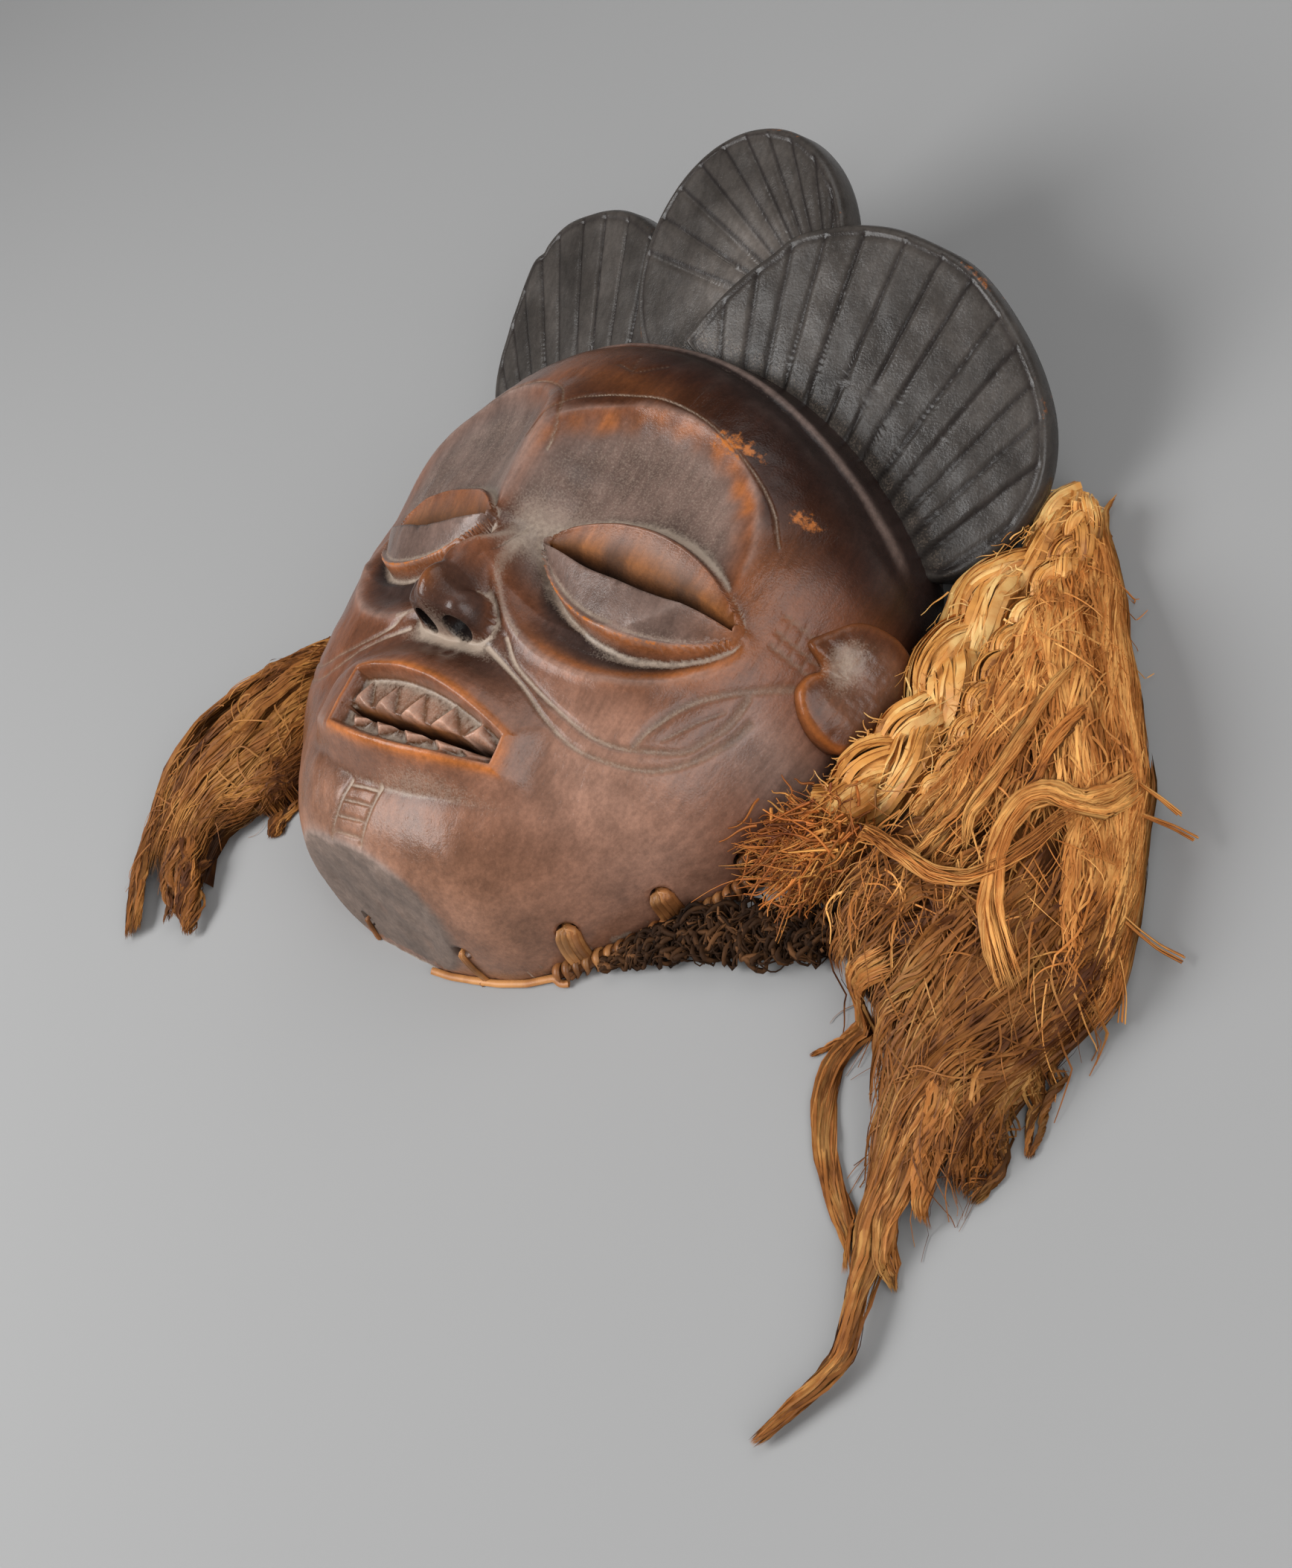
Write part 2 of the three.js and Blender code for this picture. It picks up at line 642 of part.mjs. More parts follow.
// A soft heap that lies on the ground: each station gives y, its two edges in x, and its height.
function heap(stations, lift = GAP) {
  const arch = 6;
  const sections = stations.map(([y, left, right, height]) => {
    const middle = (left + right) / 2;
    const half = (right - left) / 2;
    const ring = [[left, y, lift], [right, y, lift]];
    for (let i = 1; i < arch; i += 1) {
      const angle = (Math.PI * i) / arch;
      ring.push([
        middle + half * Math.cos(angle), y,
        lift + 0.6 + (height - lift) * Math.sin(angle) ** 0.8,
      ]);
    }
    return ring;
  });
  return facingOut(loft(sections));
}

const PLAIT_LEFT = [
  [181, 119.5, 122.5, 4], [176, 119, 126, 9], [165, 115.5, 129, 15], [158.5, 107.5, 130, 16],
  [152, 104, 131, 17],
  [141, 107, 132, 18], [128, 108.5, 134, 18], [114, 108, 133, 18], [103, 106, 131, 18],
  [93, 102, 127, 17], [90.5, 102, 126, 16],
];
const PLAIT_END = [
  [89.5, 101, 124, 17], [84, 97, 124, 22], [76, 98, 124, 24], [68, 97, 121, 22],
  [61, 97, 116, 15], [57, 101, 112, 7],
];
const NETTING = [
  [56, 92, 112, 8], [52, 90, 111, 10], [47, 86, 108, 10], [42, 80, 102, 9], [37, 74, 88, 9],
  [32, 68, 76, 8], [28, 62.5, 67, 6],
];
const HAIR_LEFT = [
  [196, 129, 132, 4], [190, 126, 138, 8], [176, 128, 151, 13], [165, 130, 158, 19],
  [152, 133, 170, 24], [141, 134, 178, 27], [128, 136, 188, 29], [114, 135, 194, 30],
  [100, 133, 201, 30], [86, 126, 206, 30], [72, 125, 213, 29], [60, 123, 211, 27],
  [50, 135, 208, 25], [40, 140, 206, 23], [26, 143, 204, 20], [12, 153, 203, 17],
  [0, 163, 195, 14], [-10, 174, 196, 11], [-25, 188, 200, 9], [-38, 191, 201, 7],
  [-52, 188, 195, 5], [-62, 184, 187, 3],
];
const TUFT_RIGHT = [
  [92, -110, -101, 8], [82, -118, -99, 16], [65, -131, -96, 22], [50, -142, -94, 22],
  [36, -153, -97, 20], [24, -154, -97, 17], [12, -152, -105, 14], [0, -150, -111, 12],
  [-12, -144, -108, 9], [-24, -137, -106, 7], [-36, -127, -112, 4],
];
const PLAIT_RIGHT = [
  [166, -119, -116.5, 4], [158, -124, -105, 10], [142, -129, -109, 14], [124, -130, -109, 14],
  [106, -127, -107, 14], [96, -120, -105, 12],
];

// A cord stitch: it comes out of its hole and runs down the outside to the ground.
function stitch([x, y, z]) {
  const outward = outwardAt(x * 0.97, y + 2);
  const at = (out, height) => {
    const point = new THREE.Vector3(x, y, z).addScaledVector(outward, out);
    point.z = height;
    return point;
  };
  const path = new THREE.CatmullRomCurve3([
    at(-1, z), at(2.5, z + 0.4), at(4.8, z * 0.6), at(6, 1.9),
  ]);
  const shape = new THREE.Shape();
  shape.absarc(0, 0, CORD_RADIUS, 0, 2 * Math.PI, false);
  return new THREE.ExtrudeGeometry(shape, {
    steps: 6, extrudePath: path, curveSegments: 3, bevelEnabled: false,
  });
}

// The scene graph.

const group = new THREE.Group();
group.position.set(-ORIGIN_X, -ORIGIN_Y, 0);

function addPiece(name, geometry, color, roughness) {
  const material = new THREE.MeshStandardMaterial({ color, roughness, metalness: 0 });
  const mesh = new THREE.Mesh(geometry, material);
  mesh.name = name;
  group.add(mesh);
}

addPiece('mask', maskGeometry(), BLACK_WOOD, 0.5);
addPiece('plait_left', heap(PLAIT_LEFT), GOLD_FIBRE, 0.85);
addPiece('plait_left_end', heap(PLAIT_END), GOLD_FIBRE, 0.85);
addPiece('plait_right', heap(PLAIT_RIGHT), GOLD_FIBRE, 0.85);
addPiece('netting', heap(NETTING), DARK_CORD, 0.9);
addPiece('hair_left', heap(HAIR_LEFT), RAFFIA, 0.85);
addPiece('tuft_right', heap(TUFT_RIGHT), DARK_RAFFIA, 0.85);
HOLES.slice(0, 5).forEach((hole, i) => {
  addPiece(`stitch_${i + 1}`, stitch(hole), STITCH_CORD, 0.9);
});

group.updateMatrixWorld(true);

export default group;
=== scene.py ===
"""Carved wooden face mask with a fan coiffure, plaited band and raffia hair.

Everything is worked out in millimetres in the mask's own frame (x to the mask's left, y to the
crest, z out of the face) and moved into the row's frame, in metres, as each piece is made.
"""
import math

import bpy
import numpy as np
from mathutils import Matrix, Vector


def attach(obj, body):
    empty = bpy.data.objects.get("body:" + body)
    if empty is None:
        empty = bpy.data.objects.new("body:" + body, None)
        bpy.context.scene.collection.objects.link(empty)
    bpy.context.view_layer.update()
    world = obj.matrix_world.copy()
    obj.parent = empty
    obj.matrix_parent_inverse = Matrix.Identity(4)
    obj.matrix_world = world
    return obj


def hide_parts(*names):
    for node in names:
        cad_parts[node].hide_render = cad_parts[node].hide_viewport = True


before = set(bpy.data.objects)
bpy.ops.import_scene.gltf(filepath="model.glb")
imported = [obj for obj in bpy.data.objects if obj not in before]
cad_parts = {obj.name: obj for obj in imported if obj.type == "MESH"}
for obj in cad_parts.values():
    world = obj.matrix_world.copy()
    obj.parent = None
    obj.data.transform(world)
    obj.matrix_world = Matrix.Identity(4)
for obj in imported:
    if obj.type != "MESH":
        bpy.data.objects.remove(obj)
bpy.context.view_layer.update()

# The row's origin in the mask's own frame.
ORIGIN = np.array([29.5, 103.5, 0.0])


# The camera, fitted to the photograph

CAMERA_TARGET = np.array([33.3, 80.1, 0.0])
CAMERA_AZIMUTH = -16.13
CAMERA_ELEVATION = 44.48
CAMERA_ROLL = 32.92
CAMERA_DISTANCE = 662.0
FOCAL_PIXELS = 3000.0
IMAGE_WIDTH = 1736
SENSOR_WIDTH = 36.0


def add_camera():
    az, el, roll = np.radians([CAMERA_AZIMUTH, CAMERA_ELEVATION, CAMERA_ROLL])
    towards = np.array([np.cos(el) * np.cos(az), np.cos(el) * np.sin(az), np.sin(el)])
    place = CAMERA_TARGET + towards * CAMERA_DISTANCE
    right = np.cross(-towards, [0, 1, 0])
    right /= np.linalg.norm(right)
    up = np.cross(right, -towards)
    turned_right = np.cos(roll) * right + np.sin(roll) * up
    turned_up = -np.sin(roll) * right + np.cos(roll) * up
    data = bpy.data.cameras.new("camera")
    data.sensor_fit = "HORIZONTAL"
    data.sensor_width = SENSOR_WIDTH
    data.lens = FOCAL_PIXELS * SENSOR_WIDTH / IMAGE_WIDTH
    data.clip_start = 0.01
    camera = bpy.data.objects.new("camera", data)
    turn = Matrix((turned_right, turned_up, towards)).transposed().to_4x4()
    turn.translation = Vector((place - ORIGIN) / 1000)
    camera.matrix_world = turn
    bpy.context.scene.collection.objects.link(camera)
    bpy.context.scene.camera = camera


add_camera()


# The carved face as one height over the ground

FACE_MIDDLE = 108.0
# The lower face leans: so much of y for each mm of x, in full below the top by this length.
FACE_LEAN, LEAN_TOP, LEAN_LENGTH = 0.10, 190.0, 170.0
# Half of the rim, as points of a face that doesn't lean.
RIM_HALF = [(0, 2), (20, 4), (37, 8), (49, 16), (67, 34), (86, 56),
            (94, 88), (97, 120), (97, 155), (79, 178), (44, 199), (0, 206)]
# Powers that shape the dome towards its middle and towards its rim.
DOME_IN, DOME_OUT = 2.37, 2.27
# The dome's height by y before it falls to the rim, evened out over these shifts of y.
PROFILE_Y = [-10, 20, 45, 70, 95, 120, 140, 160, 180, 200]
PROFILE_Z = [92, 82, 73, 68, 69, 73, 74, 77, 88, 102]
PROFILE_BLEND = (-9, -3, 3, 9)
# The rings of points are centred at this y.
POLE_Y = 78.0
# Width of the flat rim round the hollow, and how far the hollow lies behind the dome.
RIM_WALL = 8.0
HOLLOW_DROP = 19.0
# The flat cut under the chin: where it leaves the ground, and mm of y for each mm that it rises.
CHIN_START, CHIN_RUN = 2.6, 0.27
# The ridge between the brows: height, middle x and y, half width, half length.
BROW_RIDGE = (9.0, -8.0, 142.0, 15.0, 24.0)
# The sockets: x of the line between them, then each one's distance from it, y, halves and tilt.
SOCKETS_X, SOCKET_OUT, SOCKET_Y = -5.0, 37.0, 130.0
SOCKET_HALF_WIDTH, SOCKET_HALF_HEIGHT, SOCKET_TILT, SOCKET_DEPTH = 42.0, 36.0, -12.0, 9.5
# Each eye: middle x and y, half length, height above and below its axis, tilt of the axis.
NEAR_EYE = (46.0, 114.0, 33.5, 15.8, 18.6, -0.06)
FAR_EYE = (-35.5, 115.0, 32.5, 12.8, 17.0, 0.03)
EYE_BULGE, UPPER_RIM, LOWER_RIM = 10.0, 1.6, 2.9
# The crescent hollow under each eye: middle x and half width, and what both share.
BAGS_X, NEAR_BAG, FAR_BAG = 5.0, (44.0, 37.5), (-34.0, 36.5)
BAG_Y, BAG_HALF_HEIGHT, BAG_DEPTH = 114.5, 32.5, 4.6
NOSE_X, NOSE_DROP = 1.2, 4.0
# Round parts of the nose: height, distance from its line, middle y, half width, half length.
NOSE_TIP = (17.3, 0.0, 91.5, 8.6, 8.5)
NOSE_WING = (13.0, 7.8, 89.5, 6.4, 7.2)
NOSE_BRIDGE, NOSE_ROOT_Y, NOSE_FULL_Y, NOSE_BASE_Y = 14.8, 124.0, 96.0, 82.6
# The mouth: x of its middle, and how far its opening goes to the mask's left and right.
MOUTH_X, MOUTH_HALF, MOUTH_FAR = 5.0, 37.0, 24.0
# Lines of the mouth: y at its middle, and how far they bend by the corner.
LIP_TOP, LIP_BOTTOM, SLOT = (65.0, -7.5), (40.5, 6.0), (49.5, 2.5)
LIP_BULGE, LIP_RING, MOUTH_RECESS = 10.0, 1.4, 4.2
# Teeth: x of each, then the length of both kinds, half width and height of one.
UPPER_TEETH = [-17, -5.5, 6, 17.5, 28]
LOWER_TEETH = [-13, -1.5, 10, 21, 29]
UPPER_TOOTH, LOWER_TOOTH, TOOTH_HALF, TOOTH_HEIGHT = 8.5, 6.0, 4.9, 3.0
# The hairline: an arc about this y of the middle line.
HAIRLINE_Y, HAIRLINE_RADIUS = 47.0, 150.0


def smooth(a, b, v):
    """0 up to a, 1 from b on, and a soft step between."""
    t = np.clip((v - a) / (b - a), 0, 1)
    return t * t * (3 - 2 * t)


def bell(v, w):
    return np.exp(-(v / w) ** 2)


def lean_y(x, y):
    """The y that a point would have on a face that doesn't lean."""
    return y - FACE_LEAN * np.clip((LEAN_TOP - y) / LEAN_LENGTH, 0, 1) * x


def rim_knots():
    half = np.array(RIM_HALF, float) - [0, FACE_MIDDLE]
    angle = np.arctan2(half[:, 1], half[:, 0])
    radius = np.hypot(half[:, 0], half[:, 1])
    angle = np.concatenate([angle, np.pi - angle[1:-1][::-1]])
    radius = np.concatenate([radius, radius[1:-1][::-1]])
    turn = 2 * np.pi
    return (np.concatenate([angle[-2:] - turn, angle, angle[:3] + turn]),
            np.concatenate([radius[-2:], radius, radius[:3]]))


KNOT_ANGLE, KNOT_RADIUS = rim_knots()


def rim_radius(angle):
    """The rim's distance from the face's middle, as a smooth curve through the knots."""
    a = (np.asarray(angle) + np.pi / 2) % (2 * np.pi) - np.pi / 2
    i = np.clip(np.searchsorted(KNOT_ANGLE, a, side="right") - 1, 1, len(KNOT_ANGLE) - 3)
    k, r = KNOT_ANGLE, KNOT_RADIUS
    span = k[i + 1] - k[i]
    t = (a - k[i]) / span
    m0 = (r[i + 1] - r[i - 1]) / (k[i + 1] - k[i - 1]) * span
    m1 = (r[i + 2] - r[i]) / (k[i + 2] - k[i]) * span
    return ((2 * t**3 - 3 * t**2 + 1) * r[i] + (t**3 - 2 * t**2 + t) * m0
            + (-2 * t**3 + 3 * t**2) * r[i + 1] + (t**3 - t**2) * m1)


def dome(x, y, inset=0.0, drop=0.0):
    """The plain domed face, or the hollow at this inset from the rim and drop from the front."""
    v = lean_y(x, y) - FACE_MIDDLE
    s = np.clip(np.hypot(x, v) / (rim_radius(np.arctan2(v, x)) - inset), 0, 1)
    heights = (np.interp(v + FACE_MIDDLE + k, PROFILE_Y, PROFILE_Z) for k in PROFILE_BLEND)
    profile = sum(heights) / len(PROFILE_BLEND)
    return (profile - drop) * np.maximum(1 - s**DOME_IN, 0) ** (1 / DOME_OUT)


def hollow_height(x, y, spare=0.0):
    """The hollow inside of the mask, or a surface that lies this far out of it."""
    return dome(x, y, RIM_WALL - spare, HOLLOW_DROP - spare)


def chin_cut(y):
    return (y - CHIN_START) / CHIN_RUN


def socket_reach(x, y):
    """0 at the middle of an eye socket, 1 at its edge."""
    u = np.abs(x - SOCKETS_X) - SOCKET_OUT
    v = y - SOCKET_Y
    turn = np.radians(SOCKET_TILT)
    across = u * np.cos(turn) + v * np.sin(turn)
    upwards = -u * np.sin(turn) + v * np.cos(turn)
    return np.hypot(across / SOCKET_HALF_WIDTH, upwards / SOCKET_HALF_HEIGHT)


def eye_place(x, y):
    """Where points lie along the eye of their side, from -1 at the nose to 1, and over its axis.

    With them come the room that is left there and the eye's height above and below its axis.
    """
    near = x > (NEAR_EYE[0] + FAR_EYE[0]) / 2
    middle_x, middle_y, half, up, low, tilt = (np.where(near, n, f)
                                               for n, f in zip(NEAR_EYE, FAR_EYE))
    u = (x - middle_x) / half * np.where(near, 1, -1)
    low = low * (1 + 0.16 * u)
    return u, y - middle_y - tilt * (x - middle_x), np.maximum(1 - u**2, 0), up, low


def eye_reach(x, y):
    """0 on an eye's middle line, 1 at its edge."""
    _, v, room, up, low = eye_place(x, y)
    return np.abs(v) / (np.where(v > 0, up, low) * room**0.72 + 1e-6)


def eye_height(x, y):
    """The closed eye: a round upper lid, a sunk lower one, a raised rim and sharp corners."""
    u, v, room, _, _ = eye_place(x, y)
    w = eye_reach(x, y)
    round_lid = np.sqrt(np.clip(1 - w**2.2, 0, 1))
    hollow_lid = np.clip(1 - w**1.5, 0, 1) ** 0.85
    body = np.where(w < 1, EYE_BULGE * room**0.45 * np.where(v > 0, round_lid, hollow_lid), 0)
    rim = (np.where(v < 0, LOWER_RIM, UPPER_RIM) * bell(w - 0.99, np.where(v < 0, 0.085, 0.09))
           * smooth(0, 0.10, room))
    return body + rim + 0.8 * bell(np.abs(u) - 1.0, 0.05) * bell(v, 2.0)


def bag_reach(x, y):
    """1 on the outer edge of the crescent hollow under an eye."""
    near = x > BAGS_X
    away = np.where(near, x - NEAR_BAG[0], FAR_BAG[0] - x)
    half = np.where(near, NEAR_BAG[1], FAR_BAG[1])
    return np.hypot(away / half, (y - BAG_Y) / BAG_HALF_HEIGHT)


def bag_height(x, y):
    _, v, _, _, _ = eye_place(x, y)
    reach = bag_reach(x, y)
    below = smooth(3, -6, v)
    outside = smooth(0.98, 1.10, eye_reach(x, y))
    hollow = BAG_DEPTH * smooth(1.0, 0.74, reach) * outside * below
    inner = smooth(30, 12, np.abs(x - BAGS_X))
    return (0.9 + 0.9 * inner) * bell(reach - 1.02, 0.055) * below - hollow


def nose_knob(a, y, part):
    height, out, middle, wide, long = part
    return height * np.sqrt(np.clip(1 - ((a - out) / wide) ** 2 - ((y - middle) / long) ** 2, 0, 1))


def nose_height(x, y):
    a = np.abs(x - NOSE_X)
    y = y + NOSE_DROP
    half = 4.4 + 2.6 * smooth(118, NOSE_FULL_Y, y)
    bridge = NOSE_BRIDGE * smooth(NOSE_ROOT_Y, NOSE_FULL_Y, y) * np.exp(-(a / half) ** 2.2)
    tip, wing = (nose_knob(a, y, part) for part in (NOSE_TIP, NOSE_WING))
    return (bridge**4 + tip**4 + wing**4) ** 0.25 * smooth(NOSE_BASE_Y, 86.4, y - 0.07 * a)


def mouth_line(line, x):
    return line[0] + line[1] * (x / MOUTH_HALF) ** 2


def mouth_inside(x, y):
    """How far inside the ring of the lips a point is."""
    return np.minimum(np.minimum(mouth_line(LIP_TOP, x) - y, y - mouth_line(LIP_BOTTOM, x)),
                      np.minimum(MOUTH_HALF - x, x + MOUTH_FAR))


def teeth_height(x, y):
    """Pointed teeth, each with its base on the slot and its point away from it."""
    v = y - mouth_line(SLOT, x)
    height = np.zeros_like(x)
    for side, places, tall in ((1, UPPER_TEETH, UPPER_TOOTH), (-1, LOWER_TEETH, LOWER_TOOTH)):
        for place in places:
            away = side * v - 1.6
            half = TOOTH_HALF * (1 - away / tall)
            edge = np.minimum(half - np.abs(x - place), away * 1.6 + 1.0)
            height = np.maximum(height, np.clip(edge * 0.95, 0, TOOTH_HEIGHT) * (away > -0.6))
    return height


def mouth_height(x, y):
    """Full lips round a recess with the teeth in it."""
    x = x - MOUTH_X
    a = np.abs(x) / MOUTH_HALF
    height = LIP_BULGE - 5.0 * np.clip(a, 0, 1.3) ** 2
    upper = smooth(80, 65.5, y + 7.5 * np.clip(a, 0, 1) ** 2) ** 1.2
    lower = smooth(32.5, 41.0, y - mouth_line(LIP_BOTTOM, x) + LIP_BOTTOM[0])
    side = smooth(MOUTH_HALF + 9, MOUTH_HALF - 0.5, np.abs(x))
    inside = mouth_inside(x, y)
    ring = LIP_RING * bell(inside - 1.0, 1.6) * side
    recess = smooth(1.5, 4.0, inside)
    return (height * upper * lower * side - MOUTH_RECESS * recess + ring
            + recess * teeth_height(x, y))


def catmull(points, step=1.0):
    """A smooth line through points, at about this step."""
    p = np.asarray(points, float)
    if len(p) < 3:
        count = max(int(np.linalg.norm(p[1] - p[0]) / step), 1)
        return p[0] + (p[1] - p[0]) * np.linspace(0, 1, count + 1)[:, None]
    ends = np.vstack([2 * p[0] - p[1], p, 2 * p[-1] - p[-2]])
    out = []
    for i in range(1, len(ends) - 2):
        a, b, c, d = ends[i - 1:i + 3]
        count = max(int(np.linalg.norm(c - b) / step), 1)
        t = np.linspace(0, 1, count, endpoint=False)[:, None]
        out.append(0.5 * (2 * b + (c - a) * t + (2 * a - 5 * b + 4 * c - d) * t**2
                          + (3 * b - a - 3 * c + d) * t**3))
    out.append(ends[-2][None])
    return np.vstack(out)


def distance_to(x, y, line, reach):
    """Distance from each point to a polyline, no more than reach."""
    out = np.full(x.shape, reach)
    low = line.min(0) - reach
    high = line.max(0) + reach
    near = (x > low[0]) & (x < high[0]) & (y > low[1]) & (y < high[1])
    if not near.any():
        return out
    p = np.stack([x[near], y[near]], -1)
    best = np.full(len(p), reach)
    for a, b in zip(line[:-1], line[1:]):
        along = b - a
        t = np.clip(((p - a) @ along) / max(along @ along, 1e-9), 0, 1)
        gap = p - a - t[:, None] * along
        best = np.minimum(best, np.hypot(gap[:, 0], gap[:, 1]))
    out[near] = best
    return out


# Lines cut in the face, as points on the mask's left side or at the middle.
CHEEK_OUTER = [(16.8, 81), (33.5, 75.3), (46.1, 69.3), (55.6, 66.8), (65.5, 68.3), (73.5, 72),
               (79.5, 78.9), (84, 88.7), (86.5, 97.4)]
CHEEK_INNER = [(21.5, 85.5), (28, 80), (35.5, 77), (43.8, 74.4), (55.5, 71.8), (62.9, 72.1),
               (69.1, 74.5), (77.6, 80.4), (81, 87.1), (83.6, 94.8), (84.6, 102.7)]
CHEEK_LEAF = [(68.4, 74.9), (70.4, 82.1), (75, 92), (79.6, 98.5), (86.1, 106.5), (90.8, 113)]
LEAF_SLIT = [(73.3, 80.4), (82, 96)]
# Three bars from the eye's corner to the ear, and three short cuts across them.
EAR_BARS = [[(84.5, y), (91.5, y - 0.6)] for y in (127, 122, 118)]
EAR_CROSSES = [[(86 + 2.2 * k, 128), (85.6 + 2.2 * k, 117)] for k in range(3)]
SOCKET_LINE = [(-9.5, 143), (-8.5, 150), (-5, 157.5), (1.5, 163.5), (10.1, 167), (21.3, 169.4),
               (35, 168.2), (47.6, 164.2), (62, 157), (71.5, 149.6), (77.4, 141.5)]
LADDER_LEFT, LADDER_RIGHT = [(-8.5, 31.7), (-15.6, 16.3)], [(4.5, 33.4), (-0.8, 17.6)]
LADDER_RUNGS = (0.08, 0.36, 0.64, 0.9)
FOREHEAD_MARKS = [[(-3.7, 177.5), (3.8, 175.6)], [(5.2, 175.8), (12, 181.5)], [(0, 182), (4, 175)]]


def cut_lines():
    """Every cut line, with its half width and depth."""
    lines = []
    for side in (1, -1):
        far = side < 0
        flip = np.array([side, 1.0])

        def add(line, half, depth, drop=0.0):
            line = np.asarray(line, float) * flip
            line[:, 1] -= drop if far else 0
            lines.append((line, half, depth))

        for points in (CHEEK_OUTER, CHEEK_INNER, CHEEK_LEAF):
            line = catmull(points, 2)
            add(line, 0.85, 0.45 if far else 0.75, 0.16 * line[:, 0])
        add(catmull(LEAF_SLIT, 3), 0.5, 0.5, 13)
        for bar in EAR_BARS:
            add(bar, 0.7, 0.6, 4)
        for cross in EAR_CROSSES:
            add(cross, 0.35, 0.35, 4)
    for points in (SOCKET_LINE, [(-10 - x, y - 2) for x, y in SOCKET_LINE]):
        lines.append((catmull(points, 2), 0.55, 0.5))
    for points in (LADDER_LEFT, LADDER_RIGHT):
        lines.append((catmull(points, 2), 0.8, 0.8))
    for t in LADDER_RUNGS:
        ends = [np.array(rail[0], float) + (np.array(rail[1], float) - rail[0]) * t
                for rail in (LADDER_LEFT, LADDER_RIGHT)]
        lines.append((np.array(ends), 0.6, 0.6))
    for points in FOREHEAD_MARKS:
        lines.append((np.array(points, float), 0.5, 0.35))
    return lines


CUT_LINES = cut_lines()


def cuts(x, y):
    """How deep the cut lines are at each point."""
    depth = np.zeros_like(x)
    for line, half, deep in CUT_LINES:
        depth = np.maximum(depth, deep * bell(distance_to(x, y, line, 3.5), half))
    return depth


def wobble(x, y, size, seed):
    """A soft unevenness between about -1 and 1, with bumps of about this size."""
    turn = np.random.default_rng(seed)
    total = np.zeros_like(x)
    for _ in range(7):
        angle = turn.uniform(0, np.pi)
        wave = size * turn.uniform(0.7, 1.6)
        phase = turn.uniform(0, 2 * np.pi)
        total += np.sin((x * np.cos(angle) + y * np.sin(angle)) * 2 * np.pi / wave + phase)
    return total / 4


def hairline_gap(x, y):
    """Distance inside the hairline, along the surface's plan."""
    return HAIRLINE_RADIUS - np.hypot(x, y - HAIRLINE_Y)


def face_height(x, y, fine=True):
    """The whole carved front; without fine, only its forms and not its lines and unevenness."""
    v = lean_y(x, y)
    height, ridge_x, ridge_y, wide, long = BROW_RIDGE
    ridge = height * bell(x - ridge_x, wide) * bell(v - ridge_y, long)
    z = dome(x, y) + ridge - SOCKET_DEPTH * np.clip(1 - socket_reach(x, v) ** 2.6, 0, 1)
    z = z + eye_height(x, v) + bag_height(x, v) + nose_height(x, v) + mouth_height(x, v)
    facet = chin_cut(y)
    if fine:
        gap = hairline_gap(x, y)
        z = z + 1.5 * bell(gap - 2.2, 1.5) - 1.0 * bell(gap - 5.6, 1.3)
        z = z - cuts(x, y) + 0.16 * wobble(x, y, 13, 3) + 0.07 * wobble(x, y, 5, 4)
        facet = facet + 1.2 * wobble(x, y * 3, 16, 5) + 0.5 * wobble(x, y * 3, 6, 6)
    return np.maximum(np.minimum(z, facet), 0)


def rim_distance(angle):
    """The rim's distance from the pole at each angle, by halving."""
    low = np.full(angle.shape, 20.0)
    high = np.full(angle.shape, 160.0)
    for _ in range(40):
        middle = (low + high) / 2
        x = middle * np.cos(angle)
        v = lean_y(x, POLE_Y + middle * np.sin(angle)) - FACE_MIDDLE
        within = np.hypot(x, v) < rim_radius(np.arctan2(v, x))
        low = np.where(within, middle, low)
        high = np.where(within, high, middle)
    return low


# Mesh helpers

def make_mesh(name, points, faces):
    """A smooth-shaded object from points in mask millimetres and arrays of faces."""
    mesh = bpy.data.meshes.new(name)
    points = (np.asarray(points, float) - ORIGIN) / 1000
    faces = [np.asarray(part, np.int32) for part in faces if len(part)]
    loops = np.concatenate([part.ravel() for part in faces])
    sizes = np.concatenate([np.full(len(part), part.shape[1], np.int32) for part in faces])
    starts = np.concatenate([[0], np.cumsum(sizes)[:-1]]).astype(np.int32)
    mesh.vertices.add(len(points))
    mesh.vertices.foreach_set("co", points.astype(np.float32).ravel())
    mesh.loops.add(len(loops))
    mesh.loops.foreach_set("vertex_index", loops)
    mesh.polygons.add(len(sizes))
    mesh.polygons.foreach_set("loop_start", starts)
    mesh.update(calc_edges=True)
    mesh.polygons.foreach_set("use_smooth", np.ones(len(sizes), bool))
    mesh.validate()
    obj = bpy.data.objects.new(name, mesh)
    bpy.context.scene.collection.objects.link(obj)
    return obj


def read_vertices(obj, what):
    out = np.empty(len(obj.data.vertices) * 3, np.float32)
    obj.data.vertices.foreach_get(what, out)
    return out.reshape(-1, 3).astype(float)


def vertices_of(obj):
    return read_vertices(obj, "co") * 1000 + ORIGIN


def normals_of(obj):
    return read_vertices(obj, "normal")


def set_attribute(obj, name, values):
    values = np.asarray(values, np.float32)
    kind, field = ("FLOAT", "value") if values.ndim == 1 else ("FLOAT_COLOR", "color")
    layer = obj.data.attributes.new(name, kind, "POINT")
    layer.data.foreach_set(field, values.ravel())


def ring_faces(start_a, start_b, count):
    i = np.arange(count)
    k = (i + 1) % count
    return np.stack([start_a + i, start_b + i, start_b + k, start_a + k], -1)


def fan_faces(tip, start, count, flip=False):
    i = np.arange(count)
    k = (i + 1) % count
    faces = np.stack([np.full(count, tip), start + i, start + k], -1)
    return faces[:, ::-1] if flip else faces


def row_faces(start, rows, count):
    """Quads between rows of points that go round a body."""
    return np.vstack([ring_faces(start + k * count, start + (k + 1) * count, count)
                      for k in range(rows - 1)])


